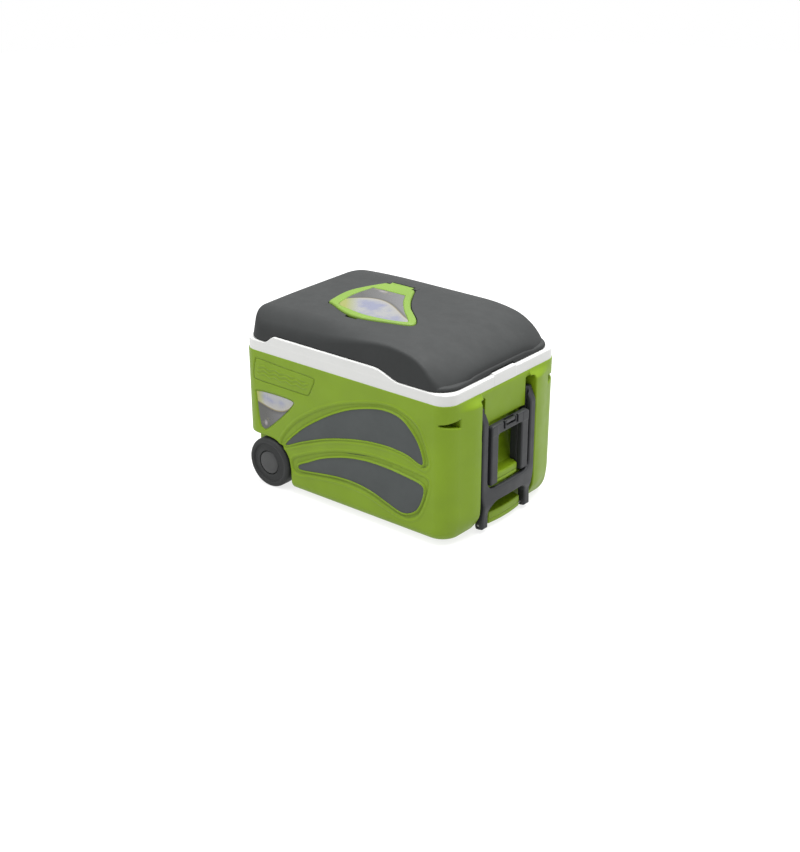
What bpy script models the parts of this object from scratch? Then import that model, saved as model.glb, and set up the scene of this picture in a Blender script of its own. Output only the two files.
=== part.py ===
"""A wheeled ice chest: moulded green body, white tub, bonnet-shaped lid with a hatch, two wheels
and a tow handle whose grip telescopes.

Metres, +Z up. The chest's length runs along X with the wheels at -X and the tow handle at +X, and its
front faces -Y. Everything is modelled in the chest's own frame, whose origin is on the floor under the
middle of the chest body, and hangs from one empty that centres the whole object on the world origin.
"""
import math

import bmesh
import bpy
from mathutils import Matrix, Vector

for old_object in list(bpy.data.objects):
    bpy.data.objects.remove(old_object, do_unlink=True)

# Driving dimensions ---------------------------------------------------------------------------------
CHEST_L = 0.600
CHEST_W = 0.415
CHEST_SHIFT_X = -0.01075      # the cross-member stands 21.5 mm out of the +X end
CHEST_FLOOR = 0.010
SHELL_TOP = 0.336
RIM_TOP = 0.363
FRONT_RAISE = 0.020           # the rim band is this much taller along the middle of the front
LID_TOP = 0.440
CORNER_R = 0.040
EDGE_R = 0.022
CHIN_H = 0.070
CHIN_D = 0.018
SIDE_DRAFT = 0.004
WALL = 0.003
GAP = 0.0003                  # between touching pieces

WHEEL_R = 0.061
WHEEL_W = 0.041
WHEEL_X = -0.2245
WHEEL_Y = 0.190
ARCH_R = 0.065
ARCH_Y = 0.158
AXLE_R = 0.0045

LID_L_MIN = -0.2965
LID_L_MAX = 0.2900
LID_W = 0.409
LID_EDGE_Z = 0.3635
LID_R = 0.062
LID_HINGE_Y = 0.2065
LID_HINGE_Z = 0.3555
LID_HINGE_X = 0.170
BARREL_R = 0.0044
BONNET_X = 0.100              # the lid is level up to here and then curves down

HATCH_SEAT_Z = 0.4305
HATCH_Z = (0.4310, 0.4425)
HATCH_HINGE_Y = 0.1215
HATCH_HINGE_Z = 0.4375
HATCH_HINGE_X = (-0.133, -0.043)

TOW_AXIS_X = 0.2985
TOW_AXIS_Z = 0.0165
ARM_Y = (0.0785, 0.0985)
ARM_X = (0.2850, 0.3080)
BAIL_HALF_W = 0.0630
WINDOW_HALF_W = 0.0435
BAIL_Z = (0.112, 0.250)
GRIP_UNDERSIDE_Z = 0.228
GRIP_BACK_X = (0.3015, 0.3040)
GRIP_FRONT_X = (0.3043, 0.3175)

# Collections, empties and materials -------------------------------------------------------------------
parts = bpy.data.collections.new("wheeled_cooler")
cutters = bpy.data.collections.new("cutters")
for collection in (parts, cutters):
    bpy.context.scene.collection.children.link(collection)


def add_empty(name, location, parent=None):
    empty = bpy.data.objects.new(name, None)
    empty.location = location
    empty.parent = parent
    parts.objects.link(empty)
    return empty


chest_frame = add_empty("chest_frame", (CHEST_SHIFT_X, 0.0, 0.0))
lid_axis = add_empty("lid_axis", (0.0, LID_HINGE_Y, LID_HINGE_Z), chest_frame)
hatch_axis = add_empty("hatch_axis", (0.0, HATCH_HINGE_Y - LID_HINGE_Y, HATCH_HINGE_Z - LID_HINGE_Z), lid_axis)
tow_axis = add_empty("tow_axis", (TOW_AXIS_X, 0.0, TOW_AXIS_Z), chest_frame)


def plastic(name, colour, roughness, metallic=0.0):
    material = bpy.data.materials.new(name)
    material.use_nodes = True
    shader = material.node_tree.nodes["Principled BSDF"]
    shader.inputs["Base Color"].default_value = (*colour, 1.0)
    shader.inputs["Roughness"].default_value = roughness
    shader.inputs["Metallic"].default_value = metallic
    material.diffuse_color = (*colour, 1.0)
    return material


GREEN = plastic("green_plastic", (0.262, 0.408, 0.042), 0.45)
HATCH_GREEN = plastic("hatch_green_plastic", (0.300, 0.470, 0.070), 0.42)
LID_GREY = plastic("lid_grey_plastic", (0.085, 0.092, 0.092), 0.50)
INLAY_GREY = plastic("inlay_grey_plastic", (0.105, 0.115, 0.115), 0.55)
FRAME_GREY = plastic("frame_grey_plastic", (0.060, 0.065, 0.070), 0.50)
WHEEL_GREY = plastic("wheel_grey_plastic", (0.070, 0.072, 0.072), 0.55)
WHITE = plastic("white_plastic", (0.760, 0.760, 0.740), 0.40)
FOAM = plastic("insulation_foam", (0.800, 0.720, 0.500), 0.90)
LABEL = plastic("printed_label", (0.500, 0.510, 0.520), 0.30)
STEEL = plastic("zinc_steel", (0.600, 0.600, 0.590), 0.35, 1.0)


# Building helpers ---------------------------------------------------------------------------------------
def finish_object(name, mesh, material, parent, smooth=True):
    """Link a mesh as a named part. Its vertices are in the chest frame and move to the parent's frame."""
    mesh.name = name
    if material is not None:
        mesh.materials.clear()
        mesh.materials.append(material)
    offset = Vector((0.0, 0.0, 0.0))
    above = parent
    while above is not None and above is not chest_frame:
        offset += above.location
        above = above.parent
    mesh.transform(Matrix.Translation(-offset))
    part = bpy.data.objects.new(name, mesh)
    part.parent = parent
    if material is None:
        cutters.objects.link(part)
        part.hide_render = True
        part.display_type = "WIRE"
    else:
        parts.objects.link(part)
        if smooth:
            mesh.shade_smooth()
            mesh.set_sharp_from_angle(angle=math.radians(35.0))
    return part


def mesh_from_bmesh(shape):
    bmesh.ops.recalc_face_normals(shape, faces=shape.faces)
    mesh = bpy.data.meshes.new("shape")
    shape.to_mesh(mesh)
    shape.free()
    return mesh


def box(name, low, high, material=None, parent=chest_frame):
    shape = bmesh.new()
    bmesh.ops.create_cube(shape, size=1.0)
    size = Vector(high) - Vector(low)
    middle = (Vector(high) + Vector(low)) / 2
    bmesh.ops.scale(shape, vec=size, verts=shape.verts)
    bmesh.ops.translate(shape, vec=middle, verts=shape.verts)
    return finish_object(name, mesh_from_bmesh(shape), material, parent, smooth=False)


def rod(name, start, end, radius, material=None, parent=chest_frame, sides=16):
    """Solid cylinder from start to end."""
    start, end = Vector(start), Vector(end)
    shape = bmesh.new()
    bmesh.ops.create_cone(shape, cap_ends=True, segments=sides, radius1=radius, radius2=radius,
                          depth=(end - start).length)
    turn = Vector((0, 0, 1)).rotation_difference((end - start).normalized()).to_matrix().to_4x4()
    bmesh.ops.transform(shape, matrix=Matrix.Translation((start + end) / 2) @ turn, verts=shape.verts)
    return finish_object(name, mesh_from_bmesh(shape), material, parent)


def loft(name, rings, material=None, parent=chest_frame, peak=None):
    """Closed skin through rings of equal length; the last ring closes flat or fans to a peak point."""
    shape = bmesh.new()
    loops = [[shape.verts.new(point) for point in ring] for ring in rings]
    count = len(rings[0])
    for low, high in zip(loops, loops[1:]):
        for i in range(count):
            j = (i + 1) % count
            shape.faces.new((low[i], low[j], high[j], high[i]))
    shape.faces.new(list(reversed(loops[0])))
    if peak is None:
        shape.faces.new(loops[-1])
    else:
        top = shape.verts.new(peak)
        for i in range(count):
            shape.faces.new((loops[-1][i], loops[-1][(i + 1) % count], top))
    bmesh.ops.connect_verts_nonplanar(shape, angle_limit=math.radians(0.01), faces=shape.faces)
    return finish_object(name, mesh_from_bmesh(shape), material, parent)


PLANES = {
    "XY": Matrix.Identity(4),
    "XZ": Matrix.Rotation(math.radians(90.0), 4, "X"),
    "YZ": Matrix(((0, 0, 1, 0), (1, 0, 0, 0), (0, 1, 0, 0), (0, 0, 0, 1))),
}
NORMAL_AXIS = {"XY": Vector((0, 0, 1)), "XZ": Vector((0, 1, 0)), "YZ": Vector((1, 0, 0))}


def plate(name, plane, outline, low, high, material=None, parent=chest_frame, tilt=None):
    """Flat outline in one of the main planes, filled and given thickness from low to high."""
    curve = bpy.data.curves.new(name, "CURVE")
    curve.dimensions = "2D"
    curve.fill_mode = "BOTH"
    curve.extrude = (high - low) / 2
    curve.render_resolution_u = 0
    spline = curve.splines.new("POLY")
    spline.points.add(len(outline) - 1)
    for point, (u, v) in zip(spline.points, outline):
        point.co = (u, v, 0.0, 1.0)
    spline.use_cyclic_u = True
    guide = bpy.data.objects.new(name, curve)
    bpy.context.scene.collection.objects.link(guide)
    bpy.context.view_layer.update()
    mesh = bpy.data.meshes.new_from_object(guide.evaluated_get(bpy.context.evaluated_depsgraph_get()))
    bpy.data.objects.remove(guide, do_unlink=True)
    bpy.data.curves.remove(curve)
    shape = bmesh.new()
    shape.from_mesh(mesh)
    bmesh.ops.remove_doubles(shape, verts=shape.verts, dist=0.00001)
    placed = Matrix.Translation(NORMAL_AXIS[plane] * (low + high) / 2) @ PLANES[plane]
    if tilt is not None:
        placed = tilt @ placed
    bmesh.ops.transform(shape, matrix=placed, verts=shape.verts)
    return finish_object(name, mesh_from_bmesh(shape), material, parent)


def turned(name, profile, centre, outward, material, parent=chest_frame, steps=32):
    """Screw profile of (radius, height) points around the Y axis, height measured along outward."""
    mesh = bpy.data.meshes.new(name)
    points = [(radius, 0.0, height) for radius, height in profile]
    edges = [(i, i + 1) for i in range(len(points) - 1)]
    if profile[0][0] > 0.0:
        edges.append((len(points) - 1, 0))
    mesh.from_pydata(points, edges, [])
    mesh.materials.append(material)
    part = bpy.data.objects.new(name, mesh)
    part.parent = parent
    part.location = centre
    part.rotation_euler = (math.radians(90.0) if outward < 0 else math.radians(-90.0), 0.0, 0.0)
    parts.objects.link(part)
    spin = part.modifiers.new("turn", "SCREW")
    spin.steps = steps
    spin.render_steps = steps
    spin.use_merge_vertices = True
    spin.merge_threshold = 0.00001
    spin.use_smooth_shade = True
    return part


def combine(part, other, operation):
    step = part.modifiers.new(operation.lower() + "_" + other.name, "BOOLEAN")
    step.operation = operation
    step.object = other
    step.solver = "EXACT"


def cut(part, *tools):
    for tool in tools:
        combine(part, tool, "DIFFERENCE")


def join(part, *tools):
    for tool in tools:
        combine(part, tool, "UNION")


def rounded_outline(x_min, x_max, half_w, radius, arc_steps=5, long_steps=1):
    """Counter-clockwise rounded rectangle, its long sides split into long_steps."""
    corners = ((x_max - radius, half_w - radius), (x_min + radius, half_w - radius),
               (x_min + radius, radius - half_w), (x_max - radius, radius - half_w))
    points = []
    for quarter, (centre_x, centre_y) in enumerate(corners):
        for step in range(arc_steps + 1):
            angle = math.radians(90.0 * (quarter + step / arc_steps))
            points.append((centre_x + radius * math.cos(angle), centre_y + radius * math.sin(angle)))
        if quarter in (0, 2):
            start = points[-1]
            end_x = corners[quarter + 1][0]
            for step in range(1, long_steps):
                points.append((start[0] + (end_x - start[0]) * step / long_steps, start[1]))
    return points


def at_height(outline, z):
    return [(x, y, z) for x, y in outline]


def smooth_closed(corners, steps=3):
    """Closed outline through hand-placed points, rounded by a Catmull-Rom curve."""
    count = len(corners)
    points = []
    for i in range(count):
        before, start, end, after = (Vector(corners[(i + k) % count]) for k in (-1, 0, 1, 2))
        for step in range(steps):
            t = step / steps
            point = 0.5 * ((2 * start) + (end - before) * t
                           + (2 * before - 5 * start + 4 * end - after) * t * t
                           + (3 * start - before - 3 * end + after) * t ** 3)
            points.append((point.x, point.y))
    return points


def offset_outline(outline, distance):
    """Move a closed counter-clockwise outline inwards by distance."""
    count = len(outline)
    moved = []
    for i in range(count):
        before, here, after = (Vector(outline[(i + k) % count]) for k in (-1, 0, 1))
        along = ((here - before).normalized() + (after - here).normalized()).normalized()
        moved.append((here.x - along.y * distance, here.y + along.x * distance))
    return moved


def mirrored(outline):
    """Mirror a YZ outline to the other side of the middle plane, kept counter-clockwise."""
    return [(-y, z) for y, z in reversed(outline)]


# Chest body -----------------------------------------------------------------------------------------------
def rounding(rise, height, depth):
    """How far an elliptical edge rounding of that height and depth stands back at this rise."""
    if rise >= height:
        return 0.0
    return depth * (1.0 - math.sqrt(1.0 - (1.0 - rise / height) ** 2))


def chest_outline(z, inset):
    rise = z - CHEST_FLOOR
    draft = SIDE_DRAFT * (SHELL_TOP - min(z, SHELL_TOP)) / (SHELL_TOP - CHEST_FLOOR)
    side = rounding(rise, EDGE_R, EDGE_R) + draft + inset
    nose = max(rounding(rise, EDGE_R, EDGE_R), rounding(rise, CHIN_H, CHIN_D)) + inset
    return rounded_outline(-CHEST_L / 2 + side - draft, CHEST_L / 2 - nose, CHEST_W / 2 - side, CORNER_R - inset)


EDGE_RISES = (0.0, 0.0030, 0.0090, 0.0220, 0.0420, 0.0700)


def chest_form(name, inset, top, lift=0.0, material=None):
    """The chest's outer form moved inwards by inset, its floor raised by inset too."""
    rings = []
    for rise in EDGE_RISES:
        rings.append(at_height(chest_outline(CHEST_FLOOR + rise, inset), CHEST_FLOOR + rise + inset + lift))
    for z in sorted({min(top, SHELL_TOP), top}):
        rings.append(at_height(chest_outline(z, inset), z))
    return loft(name, rings, material)


def arch_tools(label, grow):
    """Cutters for the two wheel arches and for the axle groove in the underside."""
    radius = ARCH_R + grow
    outline = [(WHEEL_X + radius, -0.02)]
    for step in range(9):
        angle = math.radians(90.0 * step / 8)
        outline.append((WHEEL_X + radius * math.cos(angle), WHEEL_R + radius * math.sin(angle)))
    outline += [(-0.34, WHEEL_R + radius), (-0.34, -0.02)]
    front = plate("arch_front" + label, "XZ", outline, -0.25, -ARCH_Y + grow)
    rear = plate("arch_rear" + label, "XZ", outline, ARCH_Y - grow, 0.25)
    half = AXLE_R + GAP + grow
    groove = [(WHEEL_X - half, -0.02), (WHEEL_X + half, -0.02), (WHEEL_X + half, WHEEL_R)]
    for step in range(1, 6):
        angle = math.radians(180.0 * step / 6)
        groove.append((WHEEL_X + half * math.cos(angle), WHEEL_R + half * math.sin(angle)))
    groove.append((WHEEL_X - half, WHEEL_R))
    axle = plate("axle_groove" + label, "XZ", groove, -0.17, 0.17)
    return [front, rear, axle]


HANDLE_BAY_X = 0.2815
PANEL_EDGE_Z = 0.254


def handle_bay_tools(label, grow):
    """Cutters for the handle end: the shallow bay, the two arm slots, and the two scoops."""
    tools = [box("bay" + label, (HANDLE_BAY_X - grow, -0.1005 - grow, -0.02), (0.34, 0.1005 + grow, PANEL_EDGE_Z + grow))]
    for side, low in (("_front", -0.1005), ("_rear", 0.0765)):
        tools.append(box("slot" + side + label, (HANDLE_BAY_X - grow, low - grow, 0.24),
                         (0.34, low + 0.024 + grow, 0.322 + grow)))
    chute = [(0.34, 0.2538 + grow), (0.262 - grow, 0.2538 + grow), (0.255 - grow, 0.245),
             (0.255 - grow, 0.185), (0.260 - grow, 0.160), (0.270 - grow, 0.142),
             (0.284, 0.1315 - grow), (0.34, 0.1305 - grow)]
    tools.append(plate("chute" + label, "XZ", list(reversed(chute)), -0.070 - grow, 0.070 + grow))
    scoop = [(0.34, 0.040 - grow), (0.34, 0.1005 + grow), (0.268 - grow, 0.1005 + grow),
             (0.262 - grow, 0.090), (0.262 - grow, 0.050), (0.270 - grow, 0.040 - grow)]
    tools.append(plate("scoop" + label, "XZ", scoop, -0.062 - grow, 0.062 + grow))
    return tools


HAND_HOLD_Z = (0.222, 0.262)
HOOK_SLOT = [(-0.212, 0.290), (-0.164, 0.281), (-0.164, 0.300)]


def pocket_tools(label, grow):
    """Cutters for the hand-hold in the wheel end and the hook slots in the handle-end corners."""
    hold = rounded_outline(-0.062 - grow, 0.062 + grow, (HAND_HOLD_Z[1] - HAND_HOLD_Z[0]) / 2 + grow, 0.012, 3)
    middle = sum(HAND_HOLD_Z) / 2
    tools = [plate("hand_hold" + label, "YZ", [(y, z + middle) for y, z in hold], -0.34, -0.274 + grow)]
    slot = offset_outline(HOOK_SLOT, -grow)
    tools.append(plate("hook_slot_front" + label, "YZ", slot, 0.272 - grow, 0.34))
    tools.append(plate("hook_slot_rear" + label, "YZ", mirrored(slot), 0.272 - grow, 0.34))
    return tools


def lip(name, half_w, edge_x, bow, low, high):
    """Ledge whose front edge bows outwards, standing across the handle bay."""
    back = HANDLE_BAY_X - WALL / 2
    outline = [(back, -half_w)]
    for step in range(9):
        y = -half_w + 2 * half_w * step / 8
        outline.append((edge_x + bow * (1.0 - (y / half_w) ** 2), y))
    outline.append((back, half_w))
    return plate(name, "XY", outline, low, high)


SIDE_TILT = math.atan(SIDE_DRAFT / (SHELL_TOP - CHEST_FLOOR))


def side_matrix(side):
    """Turns a plate drawn against the upright side plane into the side's draft; side is -1 or 1."""
    pivot = Vector((0.0, side * CHEST_W / 2, SHELL_TOP))
    return Matrix.Translation(pivot) @ Matrix.Rotation(-side * SIDE_TILT, 4, "X") @ Matrix.Translation(-pivot)


UPPER_INLAY = smooth_closed([(-0.172, 0.121), (-0.119, 0.144), (-0.053, 0.170), (0.010, 0.188), (0.071, 0.200),
                             (0.130, 0.205), (0.186, 0.201), (0.230, 0.188), (0.225, 0.223), (0.202, 0.258),
                             (0.169, 0.282), (0.122, 0.287), (0.066, 0.275), (0.009, 0.254), (-0.053, 0.220),
                             (-0.119, 0.174)], 2)
LOWER_INLAY = smooth_closed([(-0.130, 0.070), (-0.096, 0.074), (-0.053, 0.081), (-0.003, 0.087), (0.045, 0.087),
                             (0.093, 0.079), (0.136, 0.065), (0.174, 0.055), (0.205, 0.066), (0.223, 0.088),
                             (0.234, 0.122), (0.228, 0.139), (0.186, 0.146), (0.129, 0.151), (0.070, 0.150),
                             (0.009, 0.140), (-0.056, 0.119), (-0.102, 0.096), (-0.132, 0.080)], 2)
LABEL_OUTLINE = smooth_closed([(-0.251, 0.160), (-0.243, 0.145), (-0.228, 0.148), (-0.184, 0.187), (-0.151, 0.222),
                               (-0.149, 0.236), (-0.205, 0.238), (-0.255, 0.234), (-0.258, 0.222)], 2)
INLAY_DEPTH = 0.0025
LABEL_DEPTH = 0.0010


def side_plate(name, outline, side, low, high, material=None):
    """Plate against the chest's side, low and high measured outwards from its surface."""
    face = side * CHEST_W / 2
    bottom, top = sorted((face + side * low, face + side * high))
    return plate(name, "XZ", outline, bottom, top, material, tilt=side_matrix(side))


def make_outer_shell():
    shell = chest_form("outer_shell", 0.0, SHELL_TOP, material=GREEN)
    cut(shell, *arch_tools("_cut", 0.0), *handle_bay_tools("_cut", 0.0), *pocket_tools("_cut", 0.0))
    hollow = chest_form("shell_hollow", WALL, SHELL_TOP + 0.02)
    cut(hollow, *arch_tools("_wall", WALL), *handle_bay_tools("_wall", WALL), *pocket_tools("_wall", WALL))
    cut(shell, hollow)
    join(shell, lip("upper_lip", 0.0735, 0.2950, 0.0055, 0.1060, 0.1305))
    join(shell, lip("lower_lip", 0.0630, 0.2950, 0.0055, 0.0116, 0.0400))
    for side, label in ((-1, "front"), (1, "rear")):
        for outline, level in ((UPPER_INLAY, "upper"), (LOWER_INLAY, "lower")):
            bed = offset_outline(outline, -GAP)
            cut(shell, side_plate("bed_" + label + "_" + level, bed, side, -INLAY_DEPTH + 0.0008, 0.01))
    cut(shell, side_plate("bed_label", offset_outline(LABEL_OUTLINE, -GAP), -1, -LABEL_DEPTH, 0.01))
    for label, y in (("front", -0.060), ("rear", 0.060)):
        join(shell, box("skid_" + label, (0.205, y - 0.030, 0.0), (0.250, y + 0.030, 0.0120)))
    return shell


def make_inlays():
    for side, label in ((-1, "front"), (1, "rear")):
        for outline, level in ((UPPER_INLAY, "upper"), (LOWER_INLAY, "lower")):
            side_plate(label + "_" + level + "_inlay", outline, side, -INLAY_DEPTH + 0.0008 + GAP, 0.0006, INLAY_GREY)
    side_plate("side_label", LABEL_OUTLINE, -1, -LABEL_DEPTH + GAP, 0.0001, LABEL)


# Tub and insulation -----------------------------------------------------------------------------------------
TUB_X = (-0.266, 0.243)
TUB_HALF_W = 0.1735
TUB_FLOOR = 0.050
TUB_STEP_Z = 0.148
TUB_STEP_X = -0.132
TUB_STRAIGHT_Z = 0.350        # above this the tub's walls stand upright
TUB_WALL = 0.0025
TUB_R = 0.045
RIM_INSET = 0.0015


def tub_form(name, grow, top):
    """Deep part of the tub and the shallow part over the wheels, joined into one form."""
    rings = []
    for z, taper in ((TUB_FLOOR - grow, 0.012), (TUB_FLOOR + 0.012 - grow, 0.006), (TUB_STRAIGHT_Z, 0.0),
                     (top, 0.0)):
        outline = rounded_outline(TUB_STEP_X + taper - grow, TUB_X[1] - taper + grow,
                                  TUB_HALF_W - taper + grow, 0.030 + grow)
        rings.append(at_height(outline, z))
    deep = loft(name, rings)
    rings = []
    for z, taper in ((TUB_STEP_Z - grow, 0.010), (TUB_STEP_Z + 0.012 - grow, 0.005), (TUB_STRAIGHT_Z, 0.0),
                     (top, 0.0)):
        outline = rounded_outline(TUB_X[0] + taper - grow, TUB_X[1] - taper + grow - 0.0004,
                                  TUB_HALF_W - taper + grow - 0.0004, TUB_R + grow)
        rings.append(at_height(outline, z))
    join(deep, loft(name + "_shallow", rings))
    return deep


def rim_outline(inset):
    return rounded_outline(-CHEST_L / 2 + inset, CHEST_L / 2 - inset, CHEST_W / 2 - inset, CORNER_R - inset)


def raise_outline(base, lift):
    """Side view of the taller front band: a short S up at the wheel end and a long S down."""
    points = [(-0.240, base)]
    for x_from, x_to, z_from, z_to in ((-0.232, -0.196, 0.0, FRONT_RAISE), (0.090, 0.172, FRONT_RAISE, 0.0)):
        for step in range(7):
            blend = (1.0 - math.cos(math.pi * step / 6)) / 2
            points.append((x_from + (x_to - x_from) * step / 6, RIM_TOP + lift + z_from + (z_to - z_from) * blend))
    points.append((0.180, base))
    return list(reversed(points))


HINGE_HALF_L = 0.0265


def hinge_pockets(label, grow, low_z, high_z, low_y, half_l):
    """Boxes at the back of the rim around the two lid hinges."""
    return [box("hinge_pocket_%s_%s" % (side, label), (x - half_l - grow, low_y - grow, low_z - grow),
                (x + half_l + grow, 0.24, high_z + grow))
            for side, x in (("left", -LID_HINGE_X), ("right", LID_HINGE_X))]


def make_inner_liner():
    rim = [at_height(rim_outline(RIM_INSET), z) for z in (SHELL_TOP + GAP, RIM_TOP)]
    liner = loft("inner_liner", rim, WHITE)
    hollow = loft("rim_hollow", [at_height(rim_outline(RIM_INSET + WALL), z) for z in (0.30, RIM_TOP - WALL)])
    cut(liner, hollow, *hinge_pockets("liner", 0.0, 0.3375, 0.40, 0.1955, HINGE_HALF_L))
    back_walls = hinge_pockets("liner_wall", 0.0, 0.3364, RIM_TOP - 0.0001, 0.1930, HINGE_HALF_L + 0.0025)
    for wall in back_walls:
        trim = box(wall.name + "_outside", (-0.4, 0.1954, 0.30), (0.4, 0.30, 0.40))
        cut(wall, trim)
        join(liner, wall)
    join(liner, tub_form("tub_skin", TUB_WALL, RIM_TOP - 0.0005))
    join(liner, plate("front_band", "XZ", raise_outline(RIM_TOP - 0.0022, 0.0), -CHEST_W / 2 + RIM_INSET + 0.0003, -0.1985))
    cut(liner, tub_form("tub_space", 0.0, RIM_TOP + 0.03))
    return liner


def make_foam_core():
    foam = chest_form("foam_core", WALL + GAP, SHELL_TOP - 0.004, material=FOAM)
    collar = [at_height(rim_outline(RIM_INSET + WALL + GAP), z) for z in (SHELL_TOP - 0.010, RIM_TOP - WALL - GAP)]
    join(foam, loft("foam_collar", collar))
    grow = WALL + GAP
    cut(foam, *arch_tools("_foam", grow), *handle_bay_tools("_foam", grow), *pocket_tools("_foam", grow))
    cut(foam, tub_form("foam_tub", TUB_WALL + GAP, RIM_TOP + 0.03))
    cut(foam, *hinge_pockets("foam", GAP, 0.3300, 0.40, 0.1930, HINGE_HALF_L + 0.0025))
    return foam


# Lid ------------------------------------------------------------------------------------------------------------
def lid_height(x, y):
    """Height of the lid's top surface: level, slightly crowned across, curving down at the handle end."""
    fall = max(0.0, (x - BONNET_X) / (LID_L_MAX - 0.006 - BONNET_X))
    drop = 1.0 - max(0.0, 1.0 - min(1.0, fall) ** 2) ** 0.625
    crown = 0.006 * (y / (LID_W / 2)) ** 2
    tail = 0.008 * max(0.0, (-x - 0.10) / 0.20) ** 2
    return LID_TOP - crown - tail - drop * (LID_TOP - LID_EDGE_Z - 0.014)


LID_RINGS = ((0.000, 0.00), (0.0025, 0.25), (0.0065, 0.55), (0.0120, 0.80), (0.0200, 0.94), (0.0320, 1.00))
LID_INNER = (0.25, 0.55, 0.85)


def lid_form(name, inset, bottom, top_inset, material=None):
    """Lid skin moved inwards by inset, from the level bottom up to the crowned top."""
    outer = rounded_outline(LID_L_MIN, LID_L_MAX, LID_W / 2, LID_R, 6, 12)
    outline = rounded_outline(LID_L_MIN + inset, LID_L_MAX - inset, LID_W / 2 - inset, LID_R - inset, 6, 12)
    rings = []
    for step, share in LID_RINGS:
        moved, above = offset_outline(outline, step), offset_outline(outer, step)
        rings.append([(x, y, bottom + (lid_height(*over) - top_inset - bottom) * share)
                      for (x, y), over in zip(moved, above)])
    middle = (LID_L_MIN + LID_L_MAX) / 2
    for share in LID_INNER:
        ring = []
        for (x, y), (over_x, over_y) in zip(moved, above):
            over = (over_x + (middle - over_x) * share * 0.35, over_y * (1.0 - share))
            ring.append((x + (middle - x) * share * 0.35, y * (1.0 - share), lid_height(*over) - top_inset))
        rings.append(ring)
    return loft(name, rings, material, lid_axis if material else chest_frame)


HATCH_OUTLINE = smooth_closed([(-0.134, -0.078), (-0.070, -0.106), (-0.018, -0.110), (0.048, -0.094), (0.092, -0.080),
                               (0.098, -0.064), (0.078, -0.036), (0.029, 0.008), (-0.004, 0.048), (-0.028, 0.086),
                               (-0.040, 0.106), (-0.050, 0.112), (-0.122, 0.112), (-0.134, 0.104),
                               (-0.156, 0.050), (-0.164, 0.003), (-0.154, -0.058), (-0.146, -0.074)], 2)
HATCH_LABEL_OUTLINE = smooth_closed([(-0.104, -0.078), (-0.030, -0.090), (0.034, -0.084), (0.076, -0.070),
                                     (0.070, -0.056), (0.026, -0.014), (-0.014, 0.032), (-0.034, 0.062),
                                     (-0.046, 0.068), (-0.124, 0.066), (-0.132, 0.056), (-0.136, 0.004),
                                     (-0.128, -0.044), (-0.120, -0.068)], 2)
OPENING_OUTLINE = smooth_closed([(-0.120, -0.064), (-0.064, -0.088), (-0.010, -0.095), (0.044, -0.080),
                                 (0.068, -0.066), (0.052, -0.034), (0.012, 0.004), (-0.020, 0.044),
                                 (-0.044, 0.082), (-0.062, 0.094), (-0.110, 0.094), (-0.126, 0.082),
                                 (-0.142, 0.046), (-0.150, 0.002), (-0.140, -0.044)], 2)
PLUG_GAP = 0.006


def hatch_tools(label, grow):
    """Cutters for the hatch's seat in the lid, its hinge trough and finger notch, and the opening below."""
    x_low, x_high = HATCH_HINGE_X
    return [plate("hatch_seat" + label, "XY", offset_outline(HATCH_OUTLINE, -0.0012 - grow), HATCH_SEAT_Z - grow, 0.47),
            plate("hatch_opening" + label, "XY", offset_outline(OPENING_OUTLINE, -grow), 0.33, 0.44),
            box("hatch_trough" + label, (x_low - grow, 0.095, 0.4290 - grow), (x_high + grow, 0.1305 + grow, 0.47)),
            box("finger_notch" + label, (-0.062 - grow, -0.119 - grow, 0.4230 - grow), (-0.028 + grow, -0.098 + grow, 0.47))]


def band_tools(label, grow):
    """Cutter for the room that the taller front band takes from the lid."""
    outline = raise_outline(LID_EDGE_Z - 0.02, GAP + 0.0002 + grow)
    return [plate("band_room" + label, "XZ", outline, -0.25, -0.1970 + grow)]


def barrel_arc(start, stop, steps=8):
    """Round of a lid hinge barrel in the YZ plane, between two angles in degrees."""
    points = []
    for step in range(steps + 1):
        angle = math.radians(start + (stop - start) * step / steps)
        points.append((LID_HINGE_Y + BARREL_R * math.cos(angle), LID_HINGE_Z + BARREL_R * math.sin(angle)))
    return points


def make_lid_cover():
    cover = lid_form("lid_cover", 0.0, LID_EDGE_Z, 0.0, LID_GREY)
    cut(cover, *hatch_tools("_cut", 0.0), *band_tools("_cut", 0.0))
    hollow = lid_form("lid_hollow", WALL, LID_EDGE_Z - 0.004, WALL)
    cut(hollow, *hatch_tools("_wall", WALL), *band_tools("_wall", WALL * 0.6))
    cut(cover, hollow)
    cut(cover, plate("lid_finger_notch", "YZ", rounded_outline(-0.042, 0.042, 0.0085, 0.004, 2), 0.2865, 0.34,
                     tilt=Matrix.Translation((0.0, 0.0, LID_EDGE_Z - 0.003))))
    for side, x in (("left", -LID_HINGE_X), ("right", LID_HINGE_X)):
        outline = [(0.2012, 0.3760), (0.2027, 0.3645)] + barrel_arc(165.0, 375.0) + [(0.2050, 0.3760)]
        join(cover, plate("lid_knuckle_" + side, "YZ", outline, x - 0.0142, x + 0.0142))
        cut(cover, rod("lid_bore_" + side, (x - 0.03, LID_HINGE_Y, LID_HINGE_Z), (x + 0.03, LID_HINGE_Y, LID_HINGE_Z), 0.0020, sides=12))
    x_low, x_high = HATCH_HINGE_X
    for index, (start, end) in enumerate(((x_low - 0.001, x_low + 0.012), (x_high - 0.012, x_high + 0.001))):
        ear = box("hatch_ear_%d" % index, (start, HATCH_HINGE_Y - 0.0038, 0.4280), (end, HATCH_HINGE_Y + 0.0095, 0.4405))
        join(cover, ear)
    cut(cover, rod("hatch_bore_lid", (x_low - 0.006, HATCH_HINGE_Y, HATCH_HINGE_Z), (x_high + 0.006, HATCH_HINGE_Y, HATCH_HINGE_Z), 0.0016, sides=12))
    return cover


LID_LINER_Z = (0.3640, 0.3668)
LID_FOAM_GAP = 0.0015         # the curved skins are split into flat faces differently


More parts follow.
